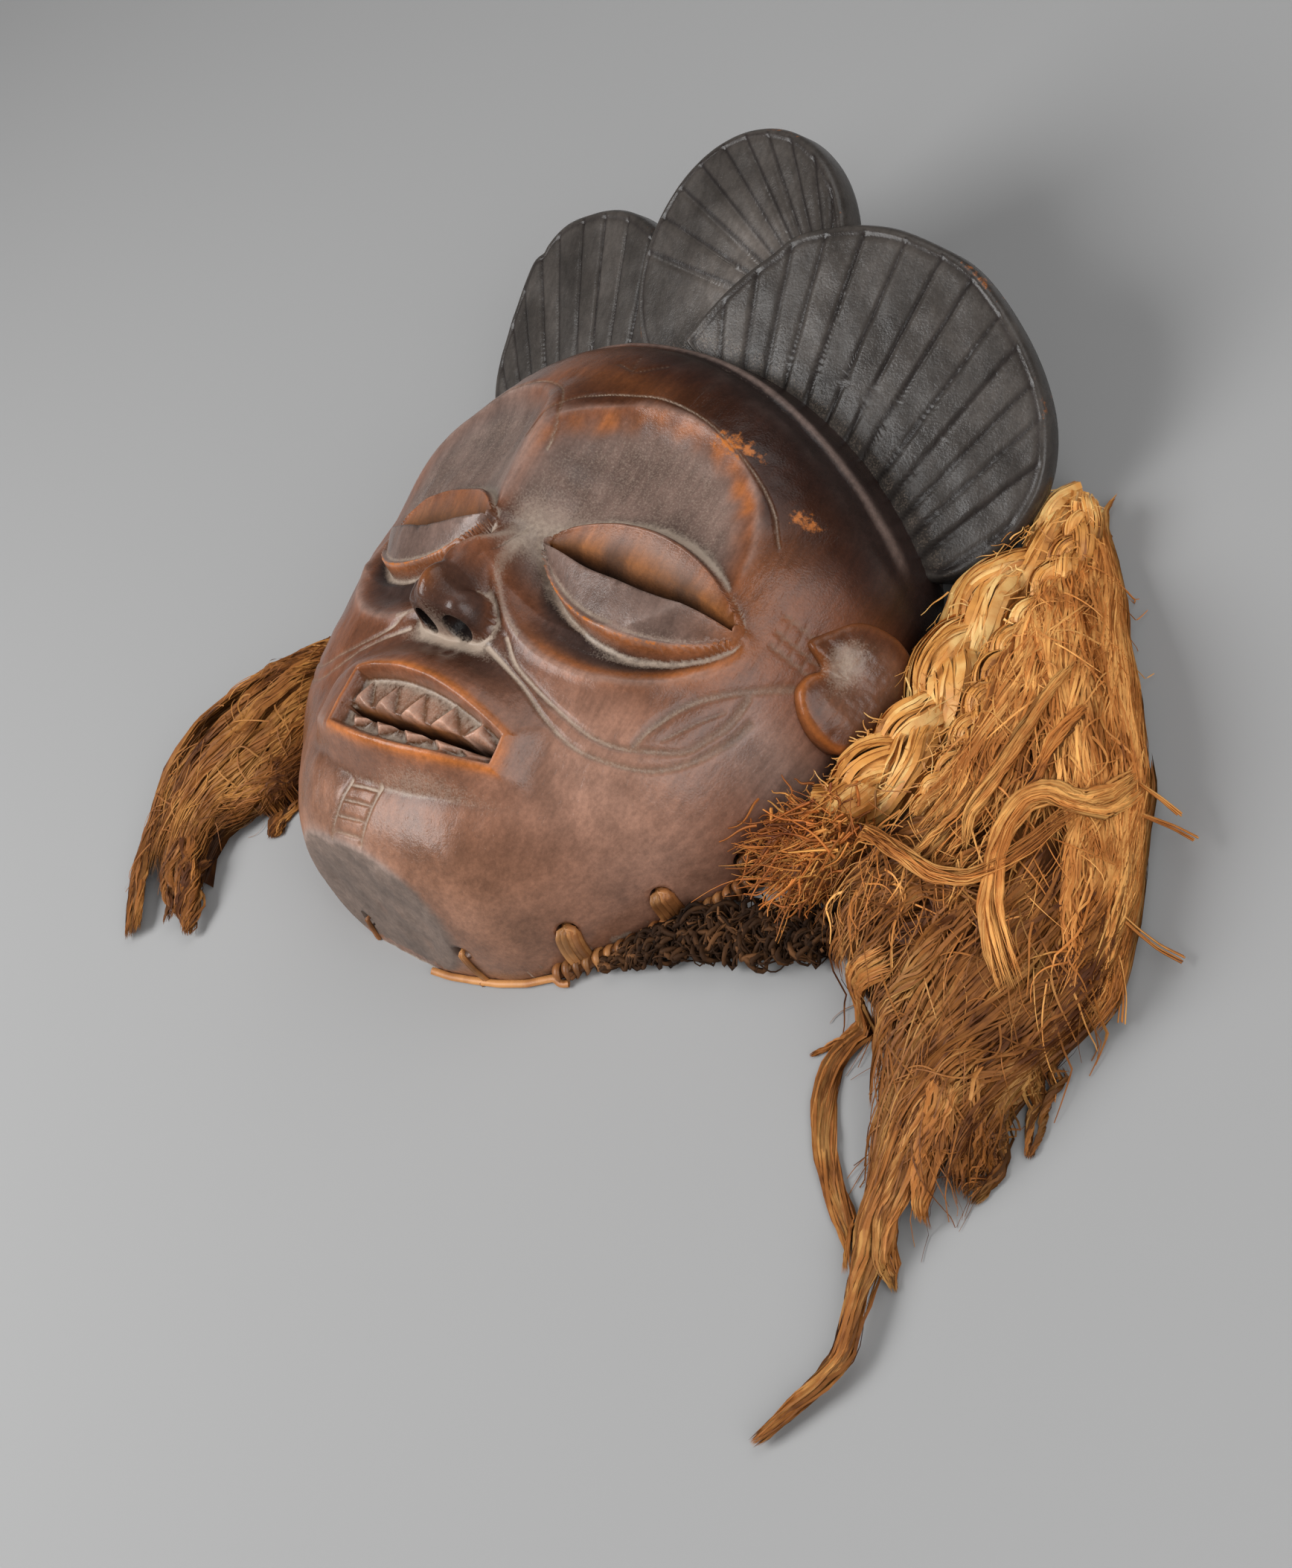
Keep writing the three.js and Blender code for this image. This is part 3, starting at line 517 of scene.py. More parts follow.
def stack_faces(start, rows, count, first_tip, last_tip):
    """Rows of quads round a body, and the triangles to a tip at each end."""
    tris = [fan_faces(first_tip, start, count),
            fan_faces(last_tip, start + (rows - 1) * count, count, flip=True)]
    return [row_faces(start, rows, count), np.vstack(tris)]


def apply_modifier(obj, name):
    with bpy.context.temp_override(object=obj, active_object=obj, selected_objects=[obj]):
        bpy.ops.object.modifier_apply(modifier=name)


def subtract(obj, points, faces):
    """Cuts this closed body out of the object."""
    cutter = make_mesh("cutter", points, faces)
    modifier = obj.modifiers.new("cut", "BOOLEAN")
    modifier.operation = "DIFFERENCE"
    modifier.solver = "MANIFOLD"
    modifier.object = cutter
    apply_modifier(obj, "cut")
    bpy.data.objects.remove(cutter, do_unlink=True)


def decimate(obj, triangles):
    now = sum(len(p.vertices) - 2 for p in obj.data.polygons)
    modifier = obj.modifiers.new("fewer", "DECIMATE")
    modifier.ratio = triangles / now
    apply_modifier(obj, "fewer")


def stand_in(obj, node):
    """Puts a piece in the place of one of the part's nodes."""
    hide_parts(node)
    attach(obj, "root")


def loft(sections):
    """Closed body through sections of the same number of points."""
    sections = np.asarray(sections, float)
    rows, count, _ = sections.shape
    points = sections.reshape(-1, 3)
    end = (rows - 1) * count
    j = np.arange(1, count - 1)
    caps = [np.stack([0 * j, j, j + 1], -1), np.stack([0 * j + end, end + j + 1, end + j], -1)]
    faces = [row_faces(0, rows, count), np.vstack(caps)]
    a, b, c, d = (points[faces[0][:, k]] for k in range(4))
    if np.sum(a * np.cross(b, c)) + np.sum(a * np.cross(c, d)) < 0:
        faces = [part[:, ::-1] for part in faces]
    return points, faces


def ball(centre, radii, tilt, rows, count):
    """An egg shape, tilted about x."""
    phi = np.pi * np.arange(1, rows)[:, None] / rows
    theta = 2 * np.pi * np.arange(count)[None] / count
    around = np.stack([np.sin(phi) * np.cos(theta), np.sin(phi) * np.sin(theta),
                       np.broadcast_to(np.cos(phi), (rows - 1, count))], -1)
    points = np.vstack([[(0, 0, 1)], around.reshape(-1, 3), [(0, 0, -1)]]) * radii
    points = points @ np.array(Matrix.Rotation(tilt, 3, "X")).T + centre
    return points, stack_faces(1, rows - 1, count, 0, len(points) - 1)


def tube(path, radius, sides):
    """A closed tube along a path; radius is one number or one for each point."""
    path = np.asarray(path, float)
    count = len(path)
    radius = np.broadcast_to(np.asarray(radius, float), (count,))
    tangent = np.gradient(path, axis=0)
    tangent /= np.linalg.norm(tangent, axis=1)[:, None] + 1e-9
    helper = np.array([0.0, 0.0, 1.0]) if abs(tangent[0][2]) < 0.9 else np.array([1.0, 0, 0])
    normal = np.empty_like(path)
    n = np.cross(tangent[0], helper)
    n /= np.linalg.norm(n)
    for i in range(count):
        n = n - tangent[i] * (n @ tangent[i])
        n /= np.linalg.norm(n) + 1e-9
        normal[i] = n
    binormal = np.cross(tangent, normal)
    a = np.linspace(0, 2 * np.pi, sides, endpoint=False)
    rings = (path[:, None] + radius[:, None, None] * (np.cos(a)[None, :, None] * normal[:, None]
             + np.sin(a)[None, :, None] * binormal[:, None]))
    points = np.vstack([rings.reshape(-1, 3), path[:1], path[-1:]])
    faces = stack_faces(0, count, sides, len(points) - 2, len(points) - 1)
    return points, [part[:, ::-1] for part in faces]


# The face piece

FACE_SPOKES, FACE_RINGS = 720, 330
HOLLOW_SPOKES, HOLLOW_RINGS = 360, 60
FACE_TRIANGLES = 170000
NOSTRIL_OUT, NOSTRIL_Y, NOSTRIL_Z, NOSTRIL_TILT = 6.6, 85.2, 71.8, -0.12
NOSTRIL_RADII = {1: (4.9, 9.0, 5.4), -1: (4.2, 9.0, 5.0)}
# Stitch holes in the wood: the first five carry a stitch each.
HOLES = [(-26, 5.1, 9.2), (23.8, 8, 16), (54.4, 27.4, 16.2), (74.2, 48.5, 13), (88.3, 68.3, 7.7),
         (-54.4, 18.4, 16.2), (-74.2, 36, 13)]
HOLE_RADIUS, HOLE_REACH = 3.1, 17


def outward_at(x, y):
    """A direction out of the dome, leant towards the ground."""
    step = 1.5
    x, y = np.array(x), np.array(y)
    dx = (dome(x + step, y) - dome(x - step, y)) / (2 * step)
    dy = (dome(x, y + step) - dome(x, y - step)) / (2 * step)
    normal = np.array([-dx, -dy, 1.0])
    normal /= np.linalg.norm(normal)
    normal[2] *= 0.25
    return normal / np.linalg.norm(normal)


def ring_shares(rings):
    """Shares of the way from the pole to the rim, closer together near the rim."""
    return np.sin(np.linspace(0, 1, rings + 1)[1:] * np.pi / 2) ** 1.1


def polar_points(shares, reach, angle):
    r = shares[:, None] * reach[None]
    return r * np.cos(angle), POLE_Y + r * np.sin(angle)


def pole_point(surface):
    """The point of a surface over the pole."""
    return np.array([[0, POLE_Y, float(surface(np.zeros(1), np.full(1, POLE_Y))[0])]])


def face_shell():
    """The carved front and the hollow back, joined along the rim."""
    spokes, rings = FACE_SPOKES, FACE_RINGS
    angle = np.linspace(0, 2 * np.pi, spokes, endpoint=False)
    x, y = polar_points(ring_shares(rings), rim_distance(angle), angle)
    z = face_height(x, y)
    z[-1] = 0
    outer = np.stack([x, y, z], -1).reshape(-1, 3)
    inner_angle = np.linspace(0, 2 * np.pi, HOLLOW_SPOKES, endpoint=False)
    x, y = polar_points(ring_shares(HOLLOW_RINGS)[::-1], rim_distance(inner_angle) - RIM_WALL,
                        inner_angle)
    z = hollow_height(x, y)
    z = z + np.clip(z / 10, 0, 1) * 0.5 * wobble(x, y, 15, 21)
    z[0] = 0
    inner = np.stack([x, y, z], -1).reshape(-1, 3)
    points = np.vstack([pole_point(face_height), outer, inner, pole_point(hollow_height)])
    base = 1 + rings * spokes
    last = base + (HOLLOW_RINGS - 1) * HOLLOW_SPOKES
    quads = [row_faces(1, rings, spokes), row_faces(base, HOLLOW_RINGS, HOLLOW_SPOKES)]
    rim = base - spokes
    i = np.arange(HOLLOW_SPOKES)
    k = (i + 1) % HOLLOW_SPOKES
    a, b, c = rim + 2 * i, rim + 2 * i + 1, rim + (2 * i + 2) % spokes
    tris = [np.stack([a, base + i, b], -1), np.stack([b, base + i, base + k], -1),
            np.stack([b, base + k, c], -1), fan_faces(0, 1, spokes),
            fan_faces(len(points) - 1, last, HOLLOW_SPOKES, flip=True)]
    return points, [np.vstack(quads), np.vstack(tris)]


# How far the eye cuts go behind the surface, and the height over the face where all cuts start.
EYE_CUT_BACK, CUT_FRONT = 32.0, 96.0
EYE_CUT_STEPS, MOUTH_CUT_STEPS = 71, 41
# The slit of the mouth: its margin to the lips' corners, half width, lean, and the heights where
# it starts and where it gets wider by so much.
SLIT_MARGIN, SLIT_HALF, SLIT_LEAN = 3, 1.8, 0.083
SLIT_BACK, SLIT_STEP_Z, SLIT_STEP = 30, 66, 1.3


def eye_cut(side):
    """What is cut away between the lids: a slit through the wood under a scooped upper lid."""
    middle_x, middle_y, half, up, _, tilt = NEAR_EYE if side > 0 else FAR_EYE
    sections = []
    for u in np.linspace(-0.965, 0.965, EYE_CUT_STEPS):
        x = middle_x + side * u * half
        room = 1 - u * u
        axis = middle_y + tilt * (x - middle_x)
        low = axis - 0.5 - 4.0 * room + 0.18 * math.sin(u * 9 + side)
        lid = max(axis + up * 0.86 * room**0.72, low + 0.6)
        lean = FACE_LEAN * 0.44 * x
        surface, lid_surface = (float(face_height(np.array([x]), np.array([y + lean]), False)[0])
                                for y in (low, lid))
        back = surface - EYE_CUT_BACK
        thin = min(max(2.4 * math.sqrt(room), 0.4), 0.6 * (lid - low))
        floor = min(12.0 * room**0.5, 11.0)
        ring = [(low, back), (low + thin, back), (low + thin * 1.1, surface - floor),
                (low * 0.55 + lid * 0.45, surface - 0.5 * floor), (lid, lid_surface - 0.6),
                (lid, CUT_FRONT), (low, CUT_FRONT)]
        sections.append([(x, y + lean, z) for y, z in ring])
    return loft(sections[::side])


def mouth_cut():
    """The slit between the teeth."""
    sections = []
    for t in np.linspace(0, 1, MOUTH_CUT_STEPS):
        x = -MOUTH_FAR + SLIT_MARGIN + (MOUTH_HALF + MOUTH_FAR - 2 * SLIT_MARGIN) * t
        y = mouth_line(SLOT, x) + SLIT_LEAN * (x + MOUTH_X)
        half = SLIT_HALF * math.sqrt(max(1 - (2 * t - 1) ** 6, 0.02))
        ring = [(y - half, SLIT_BACK), (y + half, SLIT_BACK), (y + half, SLIT_STEP_Z),
                (y + half + SLIT_STEP, CUT_FRONT), (y - half, CUT_FRONT)]
        sections.append([(x + MOUTH_X, y, z) for y, z in ring])
    return loft(sections)


def face_piece():
    face = make_mesh("mask_face", *face_shell())
    for side in (1, -1):
        subtract(face, *eye_cut(side))
    subtract(face, *mouth_cut())
    for side, radii in NOSTRIL_RADII.items():
        centre = np.array([NOSE_X + side * NOSTRIL_OUT, NOSTRIL_Y - NOSE_DROP, NOSTRIL_Z])
        subtract(face, *ball(centre, radii, NOSTRIL_TILT, 24, 32))
    for x, y, z in HOLES:
        outward = outward_at(x * 0.97, y + 2)
        path = [np.array([x, y, z], float) + outward * t
                for t in np.linspace(-HOLE_REACH, HOLE_REACH, 9)]
        subtract(face, *tube(path, HOLE_RADIUS, 24))
    decimate(face, FACE_TRIANGLES)
    return face


# Materials

def add_node(tree, kind, **settings):
    node = tree.nodes.new(kind)
    for key, value in settings.items():
        if key == "values":
            for name, given in value.items():
                node.inputs[name].default_value = given
        else:
            setattr(node, key, value)
    return node


def noise(tree, vector, scale, detail, roughness=0.55, axis_scales=None):
    if axis_scales is not None:
        mapping = add_node(tree, "ShaderNodeMapping", values={"Scale": axis_scales})
        tree.links.new(vector, mapping.inputs["Vector"])
        vector = mapping.outputs["Vector"]
    node = add_node(tree, "ShaderNodeTexNoise",
                    values={"Scale": scale, "Detail": detail, "Roughness": roughness})
    tree.links.new(vector, node.inputs["Vector"])
    return node.outputs["Fac"]


def between(tree, value, low, high, to_low=0.0, to_high=1.0):
    """A soft step of a value from low to high."""
    node = add_node(tree, "ShaderNodeMapRange", interpolation_type="SMOOTHSTEP",
                    values={"From Min": low, "From Max": high, "To Min": to_low,
                            "To Max": to_high})
    tree.links.new(value, node.inputs["Value"])
    return node.outputs["Result"]


def fill_sockets(tree, sockets, given):
    for socket, value in zip(sockets, given):
        if isinstance(value, (int, float, tuple)):
            socket.default_value = value
        else:
            tree.links.new(value, socket)


def math_node(tree, operation, a, b):
    node = add_node(tree, "ShaderNodeMath", operation=operation)
    fill_sockets(tree, node.inputs, (a, b))
    return node.outputs[0]


def weighted_sum(tree, *terms):
    """The sum of (value, weight) pairs."""
    parts = [value if weight == 1 else math_node(tree, "MULTIPLY", value, weight)
             for value, weight in terms]
    total = parts[0]
    for part in parts[1:]:
        total = math_node(tree, "ADD", total, part)
    return total


def mix_color(tree, factor, a, b, blend="MIX"):
    node = add_node(tree, "ShaderNodeMix", data_type="RGBA", blend_type=blend)
    color_sockets = [socket for socket in node.inputs if socket.type == "RGBA"]
    fill_sockets(tree, [node.inputs[0]] + color_sockets, (factor, a, b))
    return next(socket for socket in node.outputs if socket.type == "RGBA")


def shaded(tree, color, shade):
    """A colour times one brightness."""
    grey = add_node(tree, "ShaderNodeCombineColor")
    for socket in grey.inputs[:3]:
        tree.links.new(shade, socket)
    return mix_color(tree, 1.0, color, grey.outputs[0], "MULTIPLY")


def add_bump(tree, shader, height, strength, distance):
    bump = add_node(tree, "ShaderNodeBump", values={"Strength": strength, "Distance": distance})
    tree.links.new(height, bump.inputs["Height"])
    tree.links.new(bump.outputs["Normal"], shader.inputs["Normal"])


def attribute(tree, name, output="Fac"):
    return add_node(tree, "ShaderNodeAttribute", attribute_name=name).outputs[output]


def dress(obj, material):
    obj.data.materials.clear()
    obj.data.materials.append(material)
    obj.data.polygons.foreach_set("material_index", np.zeros(len(obj.data.polygons), np.int32))


def new_material(name):
    """A material, its tree and its shader, and the place in the object for its patterns."""
    material = bpy.data.materials.new(name)
    material.use_nodes = True
    tree = material.node_tree
    place = add_node(tree, "ShaderNodeTexCoord").outputs["Object"]
    return material, tree, tree.nodes["Principled BSDF"], place


WORN_ORANGE = (0.50, 0.155, 0.030, 1)
PALE_DUST_AND_GLINT = (0.47, 0.37, 0.29, 1)


def wood_material():
    """Polished dark wood: tint, wear, dust, painted sheen and gloss come from the carving, the rest
    from noise.
    """
    material, tree, shader, place = new_material("carved_wood")
    tint = attribute(tree, "tint", "Color")
    wear, dust_and_sheen, matte = (attribute(tree, name) for name in ("wear", "dust_and_sheen", "matte"))
    coarse = noise(tree, place, 55, 5)
    fine = noise(tree, place, 900, 3, 0.6)
    grain = noise(tree, place, 420, 5, 0.65, (1.0, 0.09, 1.0))
    leather = noise(tree, place, 1500, 2, 0.5)
    flecks = noise(tree, place, 330, 6, 0.72)
    specks = noise(tree, place, 640, 5, 0.75)
    glints = noise(tree, place, 1700, 3, 0.6)
    scratches = between(tree, noise(tree, place, 1300, 3, 0.7, (1.0, 0.05, 0.6)), 0.62, 0.75)
    shade = math_node(tree, "MULTIPLY", between(tree, coarse, 0.3, 0.7, 0.78, 1.25),
                      between(tree, grain, 0.3, 0.7, 0.84, 1.14))
    shade = math_node(tree, "MULTIPLY", shade, between(tree, fine, 0.3, 0.7, 0.9, 1.1))
    worn = between(tree, weighted_sum(tree, (flecks, 0.9), (wear, 1)), 0.93, 1.12)
    dusty = between(tree, weighted_sum(tree, (specks, 0.8), (dust_and_sheen, 1)), 0.70, 1.08, 0.0, 0.78)
    # Painted highlight: fine glints in the pale dust colour, thickest where the dust attribute is
    # strong.
    glinting = between(tree, weighted_sum(tree, (glints, 0.6), (dust_and_sheen, 1)), 0.45, 0.68, 0.0, 0.34)
    color = mix_color(tree, worn, shaded(tree, tint, shade), WORN_ORANGE)
    color = mix_color(tree, dusty, color, PALE_DUST_AND_GLINT)
    color = mix_color(tree, glinting, color, PALE_DUST_AND_GLINT)
    tree.links.new(color, shader.inputs["Base Color"])
    rough = weighted_sum(tree, (between(tree, coarse, 0.3, 0.7, 0.23, 0.36), 1), (matte, 0.35),
                         (dusty, 0.25))
    tree.links.new(rough, shader.inputs["Roughness"])
    shader.inputs["Specular IOR Level"].default_value = 0.32
    height = weighted_sum(tree, (grain, 0.35), (leather, 0.35), (fine, 0.25), (scratches, -0.2))
    add_bump(tree, shader, height, 0.6, 0.00032)
    return material


WOOD = wood_material()

REDDISH = np.array([0.165, 0.058, 0.026])
PALE_WOOD = np.array([0.34, 0.19, 0.135])
NEAR_BLACK = np.array([0.016, 0.011, 0.010])
FOREHEAD = np.array([0.020, 0.005, 0.002])
AMBER = np.array([0.34, 0.105, 0.024])
MAUVE = np.array([0.250, 0.130, 0.082])
GREY_WOOD = np.array([0.130, 0.106, 0.090])
GREY_SHEEN = np.array([0.165, 0.118, 0.100])
RAW_WOOD = np.array([0.32, 0.115, 0.030])
CHARCOAL = np.array([0.047, 0.040, 0.035])
CUT_BROWN = np.array([0.20, 0.12, 0.075])
INSIDE_BROWN = np.array([0.085, 0.055, 0.04])


def paint(color, layers):
    """A colour for each point, with (colour, share) layers laid over it in turn."""
    for other, share in layers:
        share = np.clip(share, 0, 1)[:, None]
        color = color * (1 - share) + other * share
    return color


def spot(x, y, cx, cy, rx, ry, turn=0.0):
    """A soft round patch, 1 at its middle."""
    a = np.radians(turn)
    u = (x - cx) * np.cos(a) + (y - cy) * np.sin(a)
    v = -(x - cx) * np.sin(a) + (y - cy) * np.cos(a)
    return np.exp(-(u / rx) ** 2 - (v / ry) ** 2)


def finish_wood(obj, color, wear, dust_and_sheen, matte):
    """Gives a wooden piece its colour, wear, dust and painted sheen, and gloss, and puts it in the
    mask's place.
    """
    set_attribute(obj, "tint", np.column_stack([color, np.ones(len(color))]))
    for name, values in (("wear", wear), ("dust_and_sheen", dust_and_sheen), ("matte", matte)):
        set_attribute(obj, name, np.clip(values, 0, 1))
    dress(obj, WOOD)
    stand_in(obj, "mask")


def blur(field, width):
    reach = int(width * 3) + 1
    kernel = np.exp(-0.5 * (np.arange(-reach, reach + 1) / width) ** 2)
    kernel /= kernel.sum()
    padded = np.pad(field, reach, mode="edge")
    for axis in (1, 0):
        padded = np.apply_along_axis(np.convolve, axis, padded, kernel, "valid")
    return padded


GRID_LEFT, GRID_RIGHT, GRID_LOW, GRID_HIGH, GRID_STEP = -105, 105, -5, 216, 0.5


def bulge_map():
    """How far the face stands out of its surroundings, at two sizes, on a fine grid."""
    x, y = np.meshgrid(np.arange(GRID_LEFT, GRID_RIGHT + GRID_STEP, GRID_STEP),
                       np.arange(GRID_LOW, GRID_HIGH + GRID_STEP, GRID_STEP))
    z = face_height(x, y)
    slope = np.hypot(*np.gradient(z, GRID_STEP))
    flat = 1 / (1 + slope**2)
    return [(z - blur(z, width / GRID_STEP)) * flat for width in (0.9, 2.6)]


def sample(grid, x, y):
    """A grid's value at each point, from the four nearest."""
    u = np.clip((x - GRID_LEFT) / GRID_STEP, 0, grid.shape[1] - 1.001)
    v = np.clip((y - GRID_LOW) / GRID_STEP, 0, grid.shape[0] - 1.001)
    i, j = u.astype(int), v.astype(int)
    u, v = u - i, v - j
    return ((grid[j, i] * (1 - u) + grid[j, i + 1] * u) * (1 - v)
            + (grid[j + 1, i] * (1 - u) + grid[j + 1, i + 1] * u) * v)


class Survey:
    """Where each point of the face lies among its features.

    v is y on a face that doesn't lean, fine and wide say how far the point stands out of its
    surroundings, and deep how far it lies behind the carved front.
    """

    def __init__(self, face):
        self.x, self.y, self.z = x, y, z = vertices_of(face).T
        self.v = v = lean_y(x, y)
        self.fine, self.wide = (sample(grid, x, y) for grid in bulge_map())
        self.reach = socket_reach(x, v)
        self.eye = eye_reach(x, v)
        self.over_axis = eye_place(x, v)[1]
        self.below = smooth(3, -6, self.over_axis)
        self.bag = bag_reach(x, v)
        self.gap = hairline_gap(x, y)
        self.near = smooth(-25, 15, x)
        self.arc = bell(self.reach - 0.90, 0.085) * smooth(122, 140, y - 0.25 * np.abs(x - 30))
        self.nose = smooth(2, 7, nose_height(x, v))
        self.in_lips = mouth_inside(x - MOUTH_X, v)
        self.mouth = (np.abs(x - MOUTH_X) < 50) & (v > 25) & (v < 80)
        self.facet = smooth(1.2, 0.2, np.abs(chin_cut(y) - z) * 0.25) * (y < 24) * (z > 3)
        self.cut = cuts(x, y)
        self.deep = face_height(x, y) - z
        self.eye_hole = self.eye < 1.15
        self.inside = smooth(5, 7, dome(x, y) - z - 9 * (self.eye < 1.2)) * (self.deep > 6)
        self.raw = ((1 - self.inside) * smooth(0.5, 1.5, self.deep)
                    * (self.eye_hole | self.mouth))


def skin_layers(s):
    x, y = s.x, s.y
    patchy = smooth(-0.7, 0.9, wobble(x, y, 9, 31))
    upper = smooth(0.97, 1.06, s.reach) * smooth(128, 150, y) * s.near
    return [
        # Painted sheen: the lower face laid over in mauve.
        (MAUVE, 0.75 * smooth(60, 10, y) * smooth(-60, 0, x + 20)),
        (GREY_SHEEN * 1.7, 0.8 * spot(x, y, 92, 91, 9, 13)),
        # Painted highlight: a pale patch on the jaw.
        (PALE_WOOD, 0.85 * spot(x, y, 64, 62, 32, 26)),
        (GREY_SHEEN, 0.8 * smooth(1.0, 0.75, s.reach) * smooth(0.98, 1.1, s.eye)),
        (GREY_SHEEN, 0.7 * smooth(-20, -50, x) * smooth(125, 150, y)),
        (GREY_SHEEN * 0.85, 0.8 * (s.eye < 1.0) * smooth(3, -3, s.over_axis)),
        (FOREHEAD, 0.92 * upper),
        (NEAR_BLACK, 0.8 * smooth(17, 6, s.gap) * (0.4 + 0.6 * s.near)),
        (AMBER, 0.75 * s.arc * s.near * patchy),
        (AMBER, 0.22 * spot(x, y, 4, 171, 26, 5.5))]


def eye_layers(s):
    x, y = s.x, s.y
    crescent = s.below * smooth(1.04, 1.12, s.eye) * smooth(1.03, 0.98, s.bag)
    lid = (s.eye < 0.97) * smooth(-1, 4, s.over_axis)
    worn = smooth(-0.9, 0.7, wobble(x * 0.4, y, 3.5, 57))
    return [
        # Painted shade in the hollow under each eye.
        (NEAR_BLACK * 1.8, 0.85 * crescent * smooth(2.2, 1.3, s.eye)),
        (AMBER, 0.75 * s.below * bell(s.bag - 0.96, 0.07) * smooth(16, 34, x)),
        (AMBER * 1.1, 0.7 * bell(s.eye - 0.98, 0.06) * s.below),
        (AMBER, 0.35 * spot(x, y, 78, 122, 7, 22)),
        (AMBER * 0.85, 0.55 * lid * worn),
        # Painted shadow: a dark line along the top of each upper lid.
        (NEAR_BLACK * 1.8, 0.75 * bell(s.eye - 0.975, 0.035) * smooth(-1, 3, s.over_axis))]


def mouth_and_nose_layers(s):
    x, y, v = s.x, s.y, s.v
    within = s.mouth * smooth(2, 4, s.in_lips)
    return [
        (AMBER, 0.95 * s.mouth * bell(s.in_lips - 0.2, 1.1)),
        (MAUVE, 0.7 * within),
        (RAW_WOOD * 0.35, 0.9 * within * smooth(0.0, 0.16, -s.fine)),
        (PALE_WOOD * 1.2, 0.6 * within * smooth(-0.02, 0.12, s.fine)),
        # Painted shade under the nose.
        (NEAR_BLACK, 0.5 * bell(x, 14) * bell(v - 84, 6) * (s.z < 76)),
        (NEAR_BLACK * 1.5, 0.75 * s.nose * smooth(104, 92, v)),
        (AMBER * 0.8, 0.6 * s.nose * spot(x, v, NOSE_X - 1, 92 - NOSE_DROP, 4, 4)),
        # Painted shadow on the cheek beside the nose, on the near side.
        (NEAR_BLACK * 2, 0.45 * spot(x, y, 24, 84, 9, 17, -20)),
        (NEAR_BLACK * 2, 0.6 * spot(x, v, 5, 75, 34, 7) * (s.in_lips < 0)),
        (GREY_WOOD, 0.8 * s.facet)]


def hole_layers(s):
    """The depths of the mouth, eyes and nostrils, darkened with depth as painted shade, the cut in
    the far eye darker, and the inside.
    """
    nostril = np.hypot((np.abs(s.x - NOSE_X) - NOSTRIL_OUT) / 5.0,
                       (s.y - NOSTRIL_Y + NOSE_DROP) / 6.5)
    return [
        (NEAR_BLACK, 0.7 * s.raw * s.mouth * smooth(7, 13, s.deep)),
        (NEAR_BLACK, 0.85 * s.raw * s.eye_hole * smooth(5.5, 10.5, s.deep)),
        (RAW_WOOD * 0.3, 0.7 * s.raw * s.eye_hole * (s.x < 0)),
        (NEAR_BLACK * 0.8, 0.95 * smooth(1.25, 0.9, nostril) * smooth(0.6, 2.0, s.deep)),
        (INSIDE_BROWN, s.inside)]


def face_wear(s):
    x, y = s.x, s.y
    wear = (0.30 * s.arc * s.near + 0.62 * spot(x, y, 52, 165, 13, 5, -12)
            + 0.6 * spot(x, y, 78, 152.5, 9, 5, 10) + 0.30 * smooth(0.05, 0.35, s.fine)
            + 0.22 * bell(s.gap - 1.8, 1.2) + 0.4 * spot(x, y, -3, 88, 2.5, 1.5)
            + 0.30 * bell(s.eye - 0.98, 0.06) * s.below
            + 0.16 * s.below * bell(s.bag - 0.98, 0.05))
    return wear * (1 - s.inside) * (1 - s.raw)


def face_dust_and_sheen(s):
    x, y, v = s.x, s.y, s.v
    # Pale dust, and painted sheen as well on the socket floors, on the ring round each eye and on
    # the spot by its inner corner.
    dust_and_sheen = (0.31 * smooth(0.02, 0.30, -s.fine) + 0.22 * smooth(0.2, 1.2, -s.wide)
            + 0.17 * smooth(0.12, 0.5, s.cut) + 0.20 * smooth(0.95, 0.7, s.reach) * (s.eye > 1.0)
            + 0.28 * spot(x, y, 10, 119, 15, 8)
            + (0.28 - 0.08 * s.below) * bell(s.eye - 1.05, 0.05) * (s.reach < 1.1)
            + 0.34 * s.below * bell(s.bag - 1.01, 0.04) * (np.abs(x) < 26)
            + 0.16 * s.below * smooth(0.45, 0.8, s.eye) * smooth(0.96, 0.9, s.eye)
            + 0.24 * s.mouth * smooth(3, 5, s.in_lips) * smooth(0.1, 0.0, -s.fine)
            + 0.42 * spot(x, v, 2, 78.5, 28, 3.5)
            + 0.06 * s.facet + 0.3 * spot(x, v, 20, 36.5, 26, 3.5, 8))
    return dust_and_sheen * (1 - 0.7 * s.raw) * (1 - s.inside) + 0.25 * s.inside


